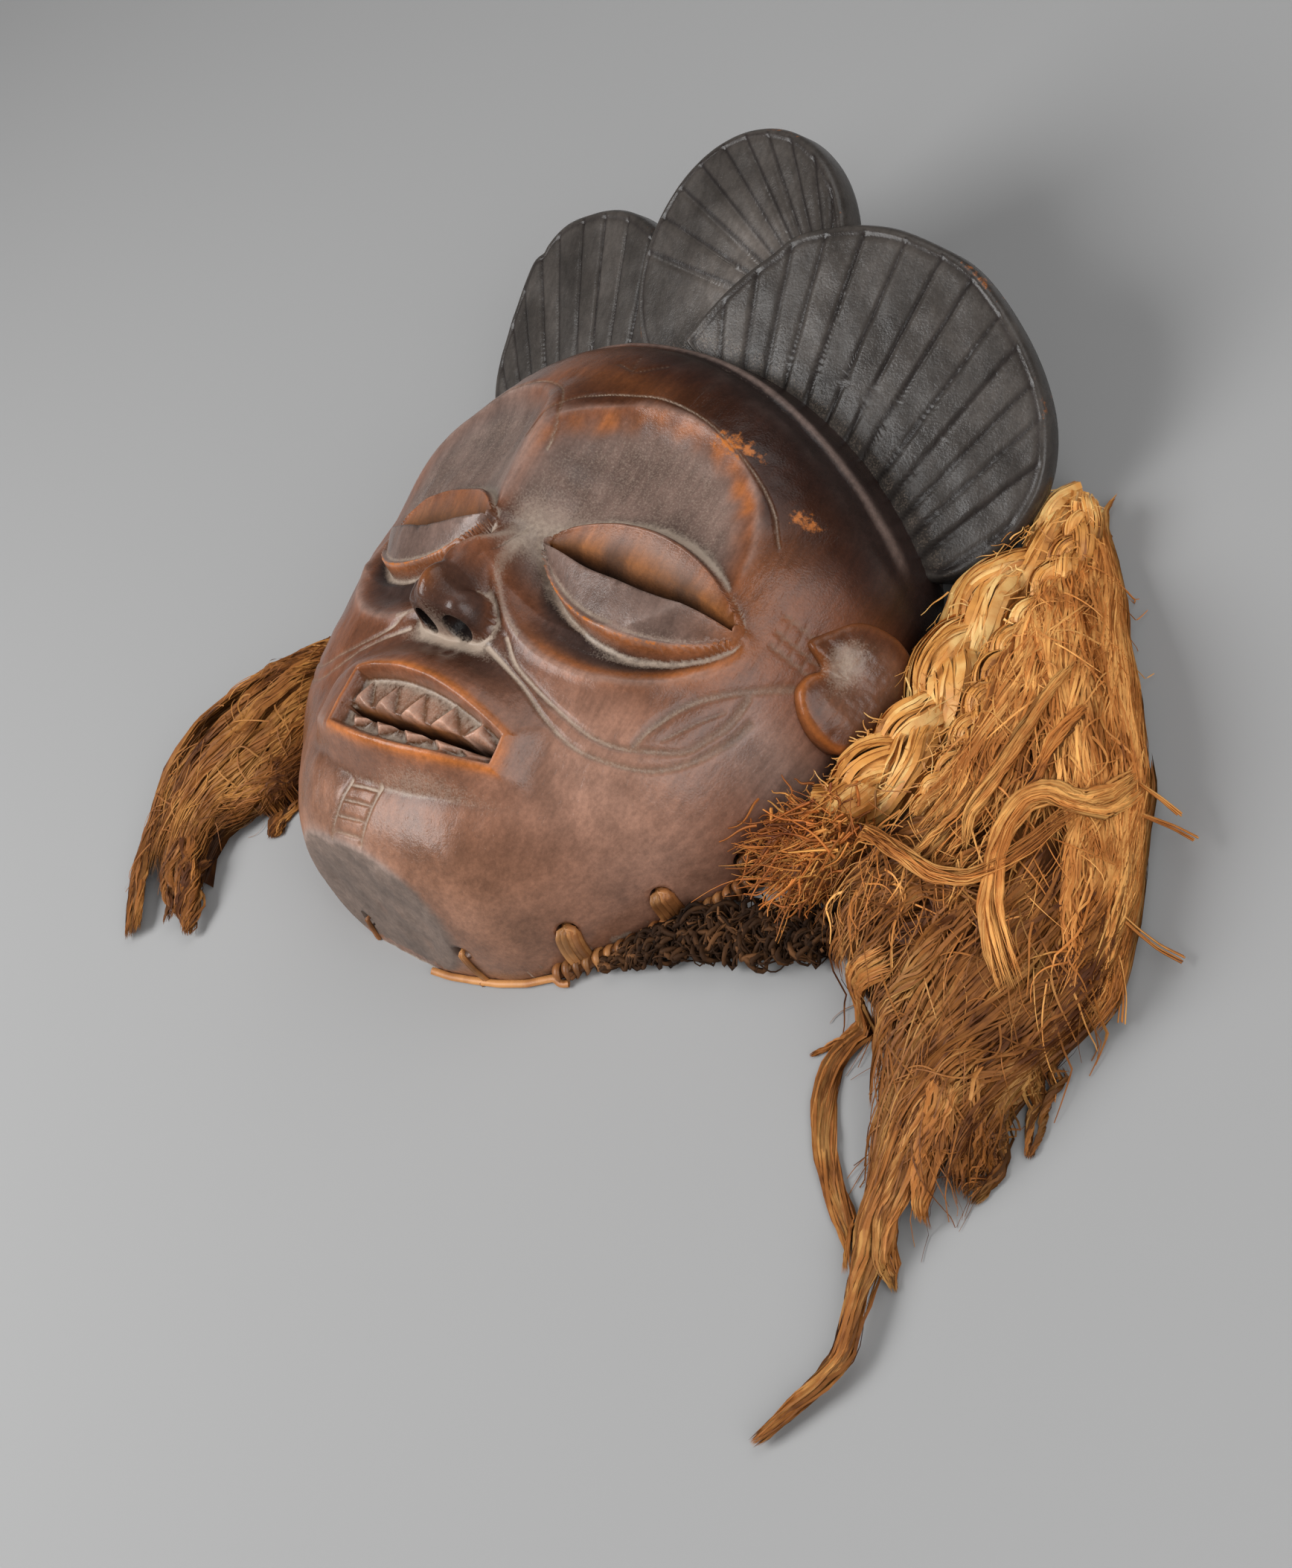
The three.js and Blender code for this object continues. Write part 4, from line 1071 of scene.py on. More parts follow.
def paint_face(face):
    s = Survey(face)
    color = paint(np.tile(REDDISH, (len(s.x), 1)),
                  skin_layers(s) + eye_layers(s) + mouth_and_nose_layers(s))
    # Painted shade and highlight: hollows darker and bulges lighter, and grey sheen on the crests.
    color = color * (1 + 0.55 * np.clip(s.wide, -1, 0.6))[:, None]
    crest = smooth(0.15, 0.7, s.wide) * (s.in_lips < -4) * (1 - s.nose)
    color = paint(color, [(GREY_SHEEN * 1.5, 0.55 * crest),
                          (CUT_BROWN, 0.55 * smooth(0.15, 0.55, s.cut)),
                          # Painted shade: the cut wood is darker near the surface and lightest
                          # about 4 mm in.
                          (RAW_WOOD * 0.45, 0.9 * s.raw),
                          (RAW_WOOD, s.raw * bell(s.deep - 4.2, 1.9))])
    streaks = 0.45 + 0.55 * smooth(-0.6, 0.7, wobble(s.x * 0.25 + s.y, s.y * 1.6, 3.2, 41))
    color = paint(color * np.where(s.raw > 0.3, streaks, 1)[:, None], hole_layers(s))
    matte = s.facet + s.inside + s.raw + 0.3 * smooth(0.1, 0.5, s.cut)
    finish_wood(face, color, face_wear(s), face_dust_and_sheen(s), matte)


# Coiffure and ears: plates with a carved front

# Rings across the back of a plate, as shares of the way to its edge.
PLATE_BACK = [1.0, 0.992, 0.975, 0.93, 0.75, 0.45, 0.15]
PLATE_ROUNDING = 2.4
# How much larger than the hollow its cutter is, how it is made, and how far it goes down.
CUTTER_SPARE, CUTTER_SPOKES, CUTTER_RINGS, CUTTER_END = 1.2, 120, 30, -20


def closed_line(outline, step):
    return catmull(list(outline) + [outline[0]], step)


def plate(name, origin, axes, outline, relief, thick, spokes, rings):
    """A plate whose front carries relief(a, b, edge), a and b being its own plane's axes."""
    a_axis, b_axis, normal = (np.asarray(axis, float) for axis in axes)
    normal = normal / np.linalg.norm(normal)
    closed = closed_line(outline, 1.0)
    middle = (closed.max(0) + closed.min(0)) / 2
    angle = np.arctan2(*(closed - middle).T[::-1])
    order = np.argsort(angle)
    theta = np.linspace(-np.pi, np.pi, spokes, endpoint=False)
    edge_r = np.interp(theta, angle[order], np.hypot(*(closed - middle).T)[order],
                       period=2 * np.pi)
    shares = np.concatenate([np.linspace(0, 1, rings + 1)[1:] ** 0.8, PLATE_BACK])
    r = shares[:, None] * edge_r
    a, b = (middle[0] + r * np.cos(theta)).ravel(), (middle[1] + r * np.sin(theta)).ravel()
    edge = (edge_r - r).ravel()
    t = np.clip(1 - edge / PLATE_ROUNDING, 0, 1)
    rounded = PLATE_ROUNDING * (1 - np.sqrt(1 - t**2))
    front = rings * spokes
    heights = [relief(middle[:1], middle[1:], np.array([50.0])),
               relief(a[:front], b[:front], edge[:front]) - rounded[:front],
               rounded[front:] - thick, [-thick]]
    a = np.concatenate([middle[:1], a, middle[:1]])
    b = np.concatenate([middle[1:], b, middle[1:]])
    points = (np.asarray(origin, float) + a[:, None] * a_axis + b[:, None] * b_axis
              + np.concatenate(heights)[:, None] * normal)
    faces = stack_faces(1, len(shares), spokes, 0, len(points) - 1)
    if np.dot(np.cross(a_axis, b_axis), normal) < 0:
        faces = [part[:, ::-1] for part in faces]
    return make_mesh(name, points, faces)


def hollow_cutter():
    """The hollow of the mask a little larger, to clear the plates out of it."""
    angle = np.linspace(0, 2 * np.pi, CUTTER_SPOKES, endpoint=False)
    reach = rim_distance(angle) - RIM_WALL + CUTTER_SPARE
    x, y = polar_points(ring_shares(CUTTER_RINGS), reach, angle)
    rows = np.stack([x, y, hollow_height(x, y, CUTTER_SPARE) + 0.05], -1)
    bottom = rows[-1] * [1, 1, 0] + [0, 0, CUTTER_END]
    top = pole_point(lambda x, y: hollow_height(x, y, CUTTER_SPARE))
    points = np.vstack([top, rows.reshape(-1, 3), bottom, [(0, POLE_Y, CUTTER_END)]])
    return points, stack_faces(1, CUTTER_RINGS + 1, CUTTER_SPOKES, 0, len(points) - 1)


LEFT_LOBE = [(-5, 199), (2, 211), (9, 220), (17, 228), (24, 235), (33, 239), (42, 242), (55, 244),
             (70, 243), (80, 241), (90, 236), (101, 228), (109, 220), (115, 211), (118, 201),
             (117.5, 191), (112, 178), (103, 168), (92, 163), (80, 163), (62, 172), (40, 182),
             (18, 189)]
RIGHT_LOBE = [(-14, 202), (-19, 213), (-26, 221.5), (-34.5, 229), (-44, 235.5), (-56, 240),
              (-68, 241.5), (-80, 240), (-92, 236.5), (-99.5, 230.5), (-101, 227.8), (-106, 224),
              (-109, 212), (-111, 199), (-111, 187), (-106.5, 176), (-100, 167), (-90, 162.5),
              (-80, 163), (-64, 172), (-45, 182), (-28, 190)]
# Directions of the lines of each fan, in degrees.
LEFT_FAN = [42, 46.5, 50.6, 54.3, 57.7, 61.6, 65.4, 70.2, 74.5, 79.4, 84.7, 89.6, 94, 98.5, 103.5,
            109]
CENTRE_FAN = [101, 107, 113.5, 120, 127.6, 133.8, 139.5, 145.5, 151.8, 157.8, 164.5, 171.5]
LOBE_THICK, LOBE_REACH, LOBE_SPOKES, LOBE_RINGS = 8.6, 62, 400, 60
# How far below the ground the planes of the lobes start, and where the centre lobe shines.
LOBE_FALL = 98.5
SHINE_X, SHINE_Y = 6, 222


def fan_gap(a, b, focus, angles):
    """Distance to the nearest line of a fan, the strip between lines, and distance to its focus."""
    angle = np.degrees(np.arctan2(b - focus[1], a - focus[0])) % 360
    angles = np.sort(np.asarray(angles, float))
    far = np.hypot(a - focus[0], b - focus[1])
    strip = np.searchsorted(angles, angle)
    low = angles[np.clip(strip - 1, 0, len(angles) - 1)]
    high = angles[np.clip(strip, 0, len(angles) - 1)]
    nearest = np.minimum(np.abs(angle - low), np.abs(angle - high))
    return np.radians(nearest) * far, strip, far


def lobe(name, outline, focus, angles, lift, slope, bulge, seed):
    """One lobe of the fan: its plane rises by half of y and by slope for each mm of x."""
    middle = np.mean(outline, axis=0)

    def relief(a, b, edge):
        gap, strip, _ = fan_gap(a, b, focus, angles)
        field = smooth(1.8, 2.6, edge)
        out = np.hypot(*(np.stack([a, b]).T - middle).T) / LOBE_REACH
        height = bulge * (1 - np.clip(out, 0, 1) ** 2)
        height = height - 0.55 * bell(gap, 0.75) * field - 0.28 * bell(edge - 3.0, 0.6)
        height = height + 0.2 * np.sin(strip * 2.4) * field
        return height + 0.10 * wobble(a, b, 12, seed) + 0.02 * wobble(a, b, 4, seed + 1)

    axes = ((1, 0, slope), (0, 1, 0.5), (-slope, -0.5, 1))
    obj = plate(name, (0, 0, lift - LOBE_FALL), axes, outline, relief, LOBE_THICK, LOBE_SPOKES,
                LOBE_RINGS)
    subtract(obj, *hollow_cutter())
    a, b = vertices_of(obj).T[:2]
    gap, strip, far = fan_gap(a, b, focus, angles)
    edge = distance_to(a, b, closed_line(outline, 1.5), 12.0)
    front = smooth(0.1, 0.5, normals_of(obj)[:, 2])
    tone = 1 + 0.10 * np.sin(strip * 1.9 + seed) * smooth(5, 6, edge)
    band = np.sin(far / 9.5 + strip * 2.2 + seed)
    tone = tone * (1 - 0.13 * smooth(-0.15, 0.15, band) * smooth(6, 8, edge) * front)
    # Painted light and shade: faces that look up are brighter, sides and backs darker.
    color = CHARCOAL[None] * tone[:, None] * (0.8 + 0.35 * front)[:, None]
    if name == "lobe_centre":
        # Painted highlight in the middle of the centre lobe.
        shine = front * bell(np.hypot(a - SHINE_X, b - SHINE_Y), 17)
        color = color * (1 + 1.6 * shine)[:, None]
    color = paint(color, [(NEAR_BLACK * 0.7, 0.8 * front * bell(gap, 0.6) * (edge > 1.8)),
                          (NEAR_BLACK, 0.6 * front * bell(edge - 3.0, 0.6))])
    hair_gap = np.hypot(a, b - HAIRLINE_Y) - HAIRLINE_RADIUS
    dust_and_sheen = (0.16 * bell(hair_gap - 4, 5) + 0.04) * front * smooth(0.3, 1.2, gap)
    edge_patches = 0.4 + 0.6 * smooth(-0.4, 0.9, wobble(a, b, 30, seed + 2))
    field_patches = smooth(0.1, 0.8, wobble(a, b, 17, seed + 5)) * front
    wear = (0.56 * bell(edge - 1.0, 1.6) * edge_patches
            + 0.34 * bell(edge - 5.0, 2.2) * field_patches)
    finish_wood(obj, color, wear, dust_and_sheen, 0.02 + 0.10 * band)


EAR_OUTLINE = [(12.1, -3.1), (20.2, 3.5), (23.1, 13.8), (20.8, 22.5), (15.1, 27.0), (5.1, 28.8),
               (-3.5, 26.8), (-12.3, 20.9), (-13.8, 12.3), (-11.4, 4.6), (-6.4, -0.8), (-1, -0.8),
               (3.2, 1.5), (6.4, -5.6)]
EAR_OUT, EAR_Y, EAR_Z, FAR_EAR_DROP = 94.2, 118, 30.5, 2
EAR_THICK, EAR_SPOKES, EAR_RINGS = 12, 180, 38


def ear(name, side):
    """A disc with a shallow bowl, which faces outwards and a little up."""

    def relief(a, b, edge):
        bowl = bell(np.hypot(a - 4, b - 6), 7.0)
        return (1.6 * smooth(0, 9, edge) - 1.5 * bowl + 0.1 * wobble(a, b, 6, 31)
                + 0.05 * wobble(a, b, 2.5, 32))

    axes = np.array([(0, 1, 0), (side * 0.5, 0, -0.87), (side * 0.87, 0, 0.5)])
    origin = np.array([side * EAR_OUT, EAR_Y - (FAR_EAR_DROP if side < 0 else 0), EAR_Z])
    obj = plate(name, origin, axes, EAR_OUTLINE, relief, EAR_THICK, EAR_SPOKES, EAR_RINGS)
    subtract(obj, *hollow_cutter())
    a, b, out = axes @ (vertices_of(obj) - origin).T
    edge = distance_to(a, b, closed_line(EAR_OUTLINE, 1.0), 8.0)
    rim = bell(edge - 0.5, 1.7) * smooth(-5, -1, out)
    color = paint(np.tile(REDDISH * 0.6, (len(a), 1)),
                  [(MAUVE, 0.35 * smooth(3, 8, edge) * (out > -2)),
                   (AMBER, 0.75 * rim * (0.35 + 0.65 * smooth(12, -6, a)))])
    dust_and_sheen = 0.47 * spot(a, b, 7, 5.5, 7.5, 6) + 0.08 * bell(edge - 7, 3)
    finish_wood(obj, color, 0.2 * rim, dust_and_sheen, np.zeros(len(a)))


def centre_outline():
    """A near circle, a little taller above its middle than below."""
    half, middle_y, above, below = 42, 224, 41, 37
    return [(half * math.cos(t), middle_y + (above if math.sin(t) > 0 else below) * math.sin(t))
            for t in np.linspace(0, 2 * math.pi, 26, endpoint=False)]


paint_face(face_piece())
lobe("lobe_centre", centre_outline(), (45, 214), CENTRE_FAN, 38, 0, 3.0, 11)
lobe("lobe_left", LEFT_LOBE, (33, 100), LEFT_FAN, 50, -0.25, 1.6, 12)
lobe("lobe_right", RIGHT_LOBE, (-33, 100), [180 - t for t in LEFT_FAN], 38, 0.1, 1.6, 13)
ear("ear_left", 1)
ear("ear_right", -1)


# Fibres

def fibre_material(name, dark, middle, light, rough=0.55, shine=0.3):
    """Fibre whose hue, streaks and brightness come from each strand."""
    material, tree, shader, place = new_material(name)
    strand = add_node(tree, "ShaderNodeSeparateColor")
    tree.links.new(attribute(tree, "strand", "Color"), strand.inputs[0])
    hue, along, shade = strand.outputs[:3]
    vector = add_node(tree, "ShaderNodeCombineXYZ")
    tree.links.new(math_node(tree, "MULTIPLY", hue, 40.0), vector.inputs[0])
    tree.links.new(along, vector.inputs[1])
    streak = noise(tree, vector.outputs[0], 6.0, 3, 0.6)
    patch = between(tree, noise(tree, place, 70, 3, 0.6), 0.3, 0.7, -0.18, 0.18)
    share = weighted_sum(tree, (hue, 0.55), (streak, 0.45), (patch, 1))
    low = mix_color(tree, between(tree, share, 0.1, 0.5), dark, middle)
    color = mix_color(tree, between(tree, share, 0.48, 0.9), low, light)
    tree.links.new(shaded(tree, color, shade), shader.inputs["Base Color"])
    shader.inputs["Roughness"].default_value = rough
    shader.inputs["Specular IOR Level"].default_value = shine
    add_bump(tree, shader, noise(tree, place, 2600, 2, 0.5), 0.4, 0.00015)
    return material


RAFFIA = fibre_material("raffia", (0.16, 0.045, 0.011, 1), (0.56, 0.20, 0.045, 1),
                        (0.90, 0.45, 0.13, 1), shine=0.16)
DARK_RAFFIA = fibre_material("dark_raffia", (0.10, 0.030, 0.008, 1), (0.38, 0.135, 0.030, 1),
                             (0.66, 0.29, 0.07, 1), shine=0.14)
GOLD_FIBRE = fibre_material("gold_fibre", (0.30, 0.10, 0.020, 1), (0.72, 0.32, 0.075, 1),
                            (0.95, 0.62, 0.23, 1), 0.45)
RUST_FIBRE = fibre_material("rust_fibre", (0.22, 0.050, 0.010, 1), (0.62, 0.19, 0.035, 1),
                            (0.90, 0.42, 0.10, 1))
DARK_CORD = fibre_material("dark_cord", (0.014, 0.007, 0.004, 1), (0.045, 0.021, 0.010, 1),
                           (0.17, 0.075, 0.030, 1), 0.7, 0.08)
STITCH_CORD = fibre_material("stitch_cord", (0.12, 0.040, 0.012, 1), (0.31, 0.120, 0.038, 1),
                             (0.54, 0.25, 0.085, 1), 0.4)


def run_length(line):
    """How far along a line each of its points is."""
    return np.concatenate([[0], np.cumsum(np.linalg.norm(np.diff(line, axis=0), axis=1))])


def spaced(line, count):
    """This many evenly spaced points along a line."""
    far = run_length(line)
    share = np.linspace(0, far[-1], count)
    return np.stack([np.interp(share, far, column) for column in line.T], -1)


def resample(points, count):
    """This many evenly spaced points along a smoothed line."""
    line = np.asarray(points, float)
    for _ in range(3):
        line = spaced(line, max(count, 4 * len(line)))
        line[1:-1] = (line[:-2] + 2 * line[1:-1] + line[2:]) / 4
    return spaced(line, count)


def stretch(values, count):
    """This many values, spread evenly through the given ones."""
    return np.interp(np.linspace(0, 1, count), np.linspace(0, 1, len(values)), values)


def unit(v):
    return v / (np.linalg.norm(v, axis=-1)[..., None] + 1e-9)


def frame_along(line):
    """The directions along a line, to its side and up from it."""
    tangent = unit(np.gradient(line, axis=0))
    side = unit(np.cross(tangent, [0, 0, 1.0]))
    return tangent, side, np.cross(side, tangent)


class Fibres:
    """Gathers fibres of one piece: flat ribbons (two sides) or closed slivers (three or more)."""

    def __init__(self):
        self.points, self.faces, self.strand, self.size = [], [], [], 0

    def add(self, paths, width, thick, hue, shade, sides=2, facing=(0.0, -0.3, 1.0), roll=0.0):
        """A fibre along each path; paths holds the points of each fibre in turn."""
        count, steps, _ = paths.shape
        width = np.broadcast_to(width, (count, steps))
        thick = np.broadcast_to(thick, (count, steps))
        tangent = unit(np.gradient(paths, axis=1))
        face = np.broadcast_to(unit(np.asarray(facing, float)), paths.shape)
        side = unit(np.cross(tangent, face))
        up = np.cross(side, tangent)
        roll = np.broadcast_to(roll, (count, steps))[..., None]
        side, up = side * np.cos(roll) + up * np.sin(roll), up * np.cos(roll) - side * np.sin(roll)
        turn = np.linspace(0, 2 * np.pi, sides, endpoint=False) + (0 if sides == 2 else np.pi / 2)
        ring = (paths[:, :, None]
                + side[:, :, None] * (width[..., None] * np.cos(turn))[..., None]
                + up[:, :, None] * (thick[..., None] * np.sin(turn))[..., None])
        index = self.size + np.arange(count * steps * sides).reshape(count, steps, sides)
        a, b = index[:, :-1], index[:, 1:]
        if sides == 2:
            quads = np.stack([a[..., 0], a[..., 1], b[..., 1], b[..., 0]], -1)
        else:
            quads = np.stack([a, np.roll(a, -1, -1), np.roll(b, -1, -1), b], -1)
        length = np.cumsum(np.linalg.norm(np.gradient(paths, axis=1), axis=-1), axis=1)
        shape = (count, steps, sides)
        strand = np.stack([
            np.broadcast_to(np.asarray(hue, float).reshape(-1, 1, 1), shape),
            np.broadcast_to((length / 25)[..., None], shape),
            np.broadcast_to(np.asarray(shade, float).reshape(count, -1, 1), shape),
            np.ones(shape)], -1)
        self.points.append(ring.reshape(-1, 3))
        self.faces.append(quads.reshape(-1, 4))
        self.strand.append(strand.reshape(-1, 4))
        self.size += count * steps * sides

    def add_mesh(self, points, faces, hue, shade):
        """A plain body, such as the core of a heap."""
        points = np.asarray(points, float)
        self.points.append(points)
        for part in faces:
            if part.shape[1] == 3:
                part = np.column_stack([part, part[:, 2]])
            self.faces.append(part + self.size)
        self.strand.append(np.tile([hue, 0.0, shade, 1.0], (len(points), 1)))
        self.size += len(points)

    def build(self, name, material):
        """The piece, with all its points just over the floor or higher."""
        faces = np.vstack(self.faces)
        tri = faces[:, 2] == faces[:, 3]
        points = np.vstack(self.points)
        points[:, 2] = np.maximum(points[:, 2], 0.1)
        obj = make_mesh(name, points, [faces[~tri], faces[tri][:, :3]])
        set_attribute(obj, "strand", np.vstack(self.strand))
        dress(obj, material)
        return obj


# A heap of fibre is a table from its back to its front: y, left edge, right edge and height.

def heap_at(stations, y):
    """A heap's left edge, right edge and height at each y."""
    table = np.array(stations, float)[::-1]
    return [np.interp(y, table[:, 0], table[:, k]) for k in (1, 2, 3)]


def heap_height(stations, x, y):
    left, right, top = heap_at(stations, y)
    across = np.clip(np.abs(x - (left + right) / 2) / ((right - left) / 2 + 1.5), 0, 1)
    return top * np.sqrt(np.clip(1 - across**3, 0, 1))


def hold_inside(stations, x, y):
    """Eases fibres that stray past the two edges of their heap back to them."""
    left, right, _ = heap_at(stations, y)
    over = x - (right - 3)
    x = np.where(over > 0, right - 3 + 4.5 * np.tanh(over / 7), x)
    under = left + 3 - x
    return np.where(under > 0, left + 3 - 4.5 * np.tanh(under / 7), x)


def heap_mesh(stations, scale_top, inset):
    """The dark core under a mass of fibre, painted dark as the shade deep in it."""
    sections = []
    for y, left, right, top in stations:
        half, middle = (right - left) / 2 - inset, (left + right) / 2
        u = np.linspace(-1, 1, 15)
        upper = [(middle + half * t, y, 0.3 + scale_top * top * math.sqrt(max(1 - abs(t)**3, 0)))
                 for t in u]
        lower = [(middle + half * t, y, 0.25) for t in u[::-1][1:-1]]
        sections.append(upper + lower)
    count = len(sections[0])
    points = np.array(sections).reshape(-1, 3)
    points = np.vstack([points, points[:count].mean(0), points[-count:].mean(0)])
    return points, stack_faces(0, len(sections), count, len(points) - 2, len(points) - 1)


PLAN_POINTS = 80


def drape(fibres, guide, spread, count, stations, seed, level=(0.74, 1.04), width=0.42, wave=1.0,
          hue=(0.1, 0.9), gather=9, steps=17, lift=0.0, taper=0.6, ragged=0.25, sides=2, hold=True,
          body=1.3, dim=1.0):
    """Fibres that follow a plan line over a heap, gathered in small locks that cross a little.

    spread is how far they go to the sides, level the share of the heap's height where the locks
    lie, wave how much they curl, gather the number of fibres in a lock, ragged the share of the
    line by which ends fall short, and body how far a fibre swings from its lock.
    """
    random = np.random.default_rng(seed)
    line = resample(guide, PLAN_POINTS)
    tangent = unit(np.gradient(line, axis=0))
    across = np.stack([-tangent[:, 1], tangent[:, 0]], -1)
    spread = stretch(np.atleast_1d(spread), PLAN_POINTS)
    locks = max(count // gather, 1)
    lock = random.integers(0, locks, count)
    lock_side = random.uniform(-1, 1, locks)
    lock_level = random.uniform(*level, locks)
    lock_hue = random.uniform(*hue, locks)
    lock_phase = random.uniform(0, 2 * np.pi, (2, locks))
    lock_turns = random.uniform(0.5, 1.6, (2, locks))
    start = random.uniform(0, ragged, count)
    end = 1 - ragged * random.uniform(0, 1, count) ** 1.5
    run = np.linspace(0, 1, steps)
    t = start[:, None] + (end - start)[:, None] * run
    k = t * (PLAN_POINTS - 1)
    i = np.clip(k.astype(int), 0, PLAN_POINTS - 2)
    f = k - i
    centre = line[i] * (1 - f[..., None]) + line[i + 1] * f[..., None]
    room = spread[i] * (1 - f) + spread[i + 1] * f
    sway = (lock_side[lock][:, None] * 0.85
            + 0.30 * np.sin(2 * np.pi * lock_turns[0][lock][:, None] * t
                            + lock_phase[0][lock][:, None]))
    phase = random.uniform(0, 2 * np.pi, count)[:, None]
    turn = phase + 2 * np.pi * lock_turns[1][lock][:, None] * t * 1.3
    inner = random.uniform(0.2, 1.0, count)[:, None] * wave
    frizz = 0.25 * wave * np.sin(t * random.uniform(20, 45, count)[:, None] + phase * 3)
    offset = sway * room + inner * np.cos(turn) * np.minimum(room * 0.5, body) + frizz
    x, y = np.moveaxis(centre + across[i] * offset[..., None], -1, 0)
    if hold:
        x = hold_inside(stations, x, y)
    z = (0.5 + heap_height(stations, x, y) * lock_level[lock][:, None] + lift
         + 0.8 * inner * np.sin(turn))
    paths = np.stack([x, y, np.maximum(z, 0.45)], -1)
    ends = np.minimum(run / 0.08, (1 - run) / 0.2)
    thin = np.clip(ends, 0, 1) ** 0.7 * (1 - taper * run)
    half = width * random.uniform(0.55, 1.45, count)[:, None] * thin
    tone = np.clip(lock_hue[lock] + random.normal(0, 0.10, count), 0, 1)
    # Painted shade: locks that lie lower in the heap are darker; dim darkens the whole drape.
    bright = dim * np.clip(0.22 + 0.80 * (lock_level[lock] - level[0]) / (level[1] - level[0])
                           + 0.12 * np.sin(turn[:, 0]), 0.15, 1.1)
    fibres.add(paths, half, half * 0.45, tone, bright, sides,
               roll=random.uniform(-0.6, 0.6, count)[:, None] + 0.5 * np.sin(turn))


def drape_lines(fibres, lines, count, stations, seed, **how):
    """Drapes fibres along each (line, spread); count is one number or one for each line."""
    counts = np.broadcast_to(count, len(lines))
    for number, ((line, spread), own_count) in enumerate(zip(lines, counts)):
        drape(fibres, line, spread, own_count, stations, seed + number, **how)


def tangle(fibres, stations, count, low, high, heading, seed, hue=(0.3, 1.0), reach=15, dim=1.0):
    """Loose curly fibres that lie over a heap in every direction."""
    random = np.random.default_rng(seed)
    one_each = (count, 1)
    steps = 12
    y = random.uniform(low, high, one_each)
    left, right, _ = heap_at(stations, y)
    x = left + (right - left) * random.uniform(0.12, 0.96, one_each)
    t = np.linspace(0, 1, steps)[None]
    bend = random.normal(0, 0.55, one_each) * np.sin(t * random.uniform(1, 5, one_each)
                                                     + random.uniform(0, 6, one_each))
    angle = heading + random.normal(0, 0.5, one_each) + bend
    stride = random.uniform(0.4, 1.0, one_each) * reach / steps
    x = hold_inside(stations, x + np.cumsum(np.cos(angle) * stride, axis=1), y)
    y = y + np.cumsum(np.sin(angle) * stride, axis=1)
    bump = (random.uniform(0.2, 1.8, one_each) * np.sin(np.pi * t)
            + random.uniform(-0.6, 0.4, one_each))
    z = np.maximum(0.5 + heap_height(stations, x, y) * 1.02 + bump, 0.4)
    half = random.uniform(0.12, 0.36, one_each) * (1 - 0.6 * t)
    fibres.add(np.stack([x, y, z], -1), half, half * 0.5, random.uniform(*hue, count),
               dim * random.uniform(0.7, 1.1, count), 2,
               roll=random.uniform(-0.7, 0.7, one_each))


HAIR_LEFT = [(196, 129, 132, 4), (190, 126, 138, 8), (176, 128, 151, 13), (165, 130, 158, 19),
             (152, 133, 170, 24), (141, 134, 178, 27), (128, 136, 188, 29), (114, 135, 194, 30),
             (100, 133, 201, 30), (86, 126, 206, 30), (72, 125, 211, 29), (60, 123, 208, 26),
             (50, 135, 204, 23), (40, 158, 201, 20), (26, 165, 201, 15), (12, 172, 199, 10),
             (0, 177, 192, 7), (-10, 180, 191, 6), (-25, 187, 196, 5), (-38, 190, 198, 4),
             (-52, 187, 193, 3), (-62, 183, 187, 2)]
TUFT_RIGHT = [(92, -110, -101, 8), (82, -118, -99, 16), (65, -131, -96, 22), (50, -145, -94, 22),
              (36, -155, -96, 20), (26, -157, -101, 18), (17, -158, -109, 15), (8, -156, -113, 12),
              (0, -153, -112, 10), (-9, -150, -105, 8), (-18, -147, -101, 6), (-28, -139, -101, 4),
              (-38, -130, -101, 3)]
# Hue and brightness of the dark cores, painted dark as the shade deep in the hair. Only the tall
# part of a heap has one.
CORE_TONE = (0.1, 0.3)
# Plan lines of the hair from above, each with how far its fibres spread to the sides.
UPPER_LINES = [
    ([(112, 205), (134, 193), (149, 177), (160, 163), (175, 146), (184, 135), (191, 122)], 5),
    ([(114, 197), (140, 178), (158, 159), (172, 144), (184, 130), (193, 115)], 6),
    ([(119, 183), (149, 160), (164, 145), (177, 130), (187, 118), (196, 105)], 7),
    ([(128, 173), (149, 151), (162, 139), (174, 126), (185, 110), (197, 95)], 8),
    ([(139, 153), (156, 137), (167, 123), (172, 108), (176, 96)], 8),
    ([(138, 160), (146, 140), (152, 120), (154, 100), (150, 86)], 8),
    ([(150, 150), (156, 130), (160, 110), (162, 95), (158, 80)], 7),
    ([(184, 134), (192, 121), (198, 106), (204, 93), (208, 82), (213, 71), (212, 62)], 5),
    ([(180, 125), (190, 108), (198, 92), (204, 76), (206, 62)], 7)]
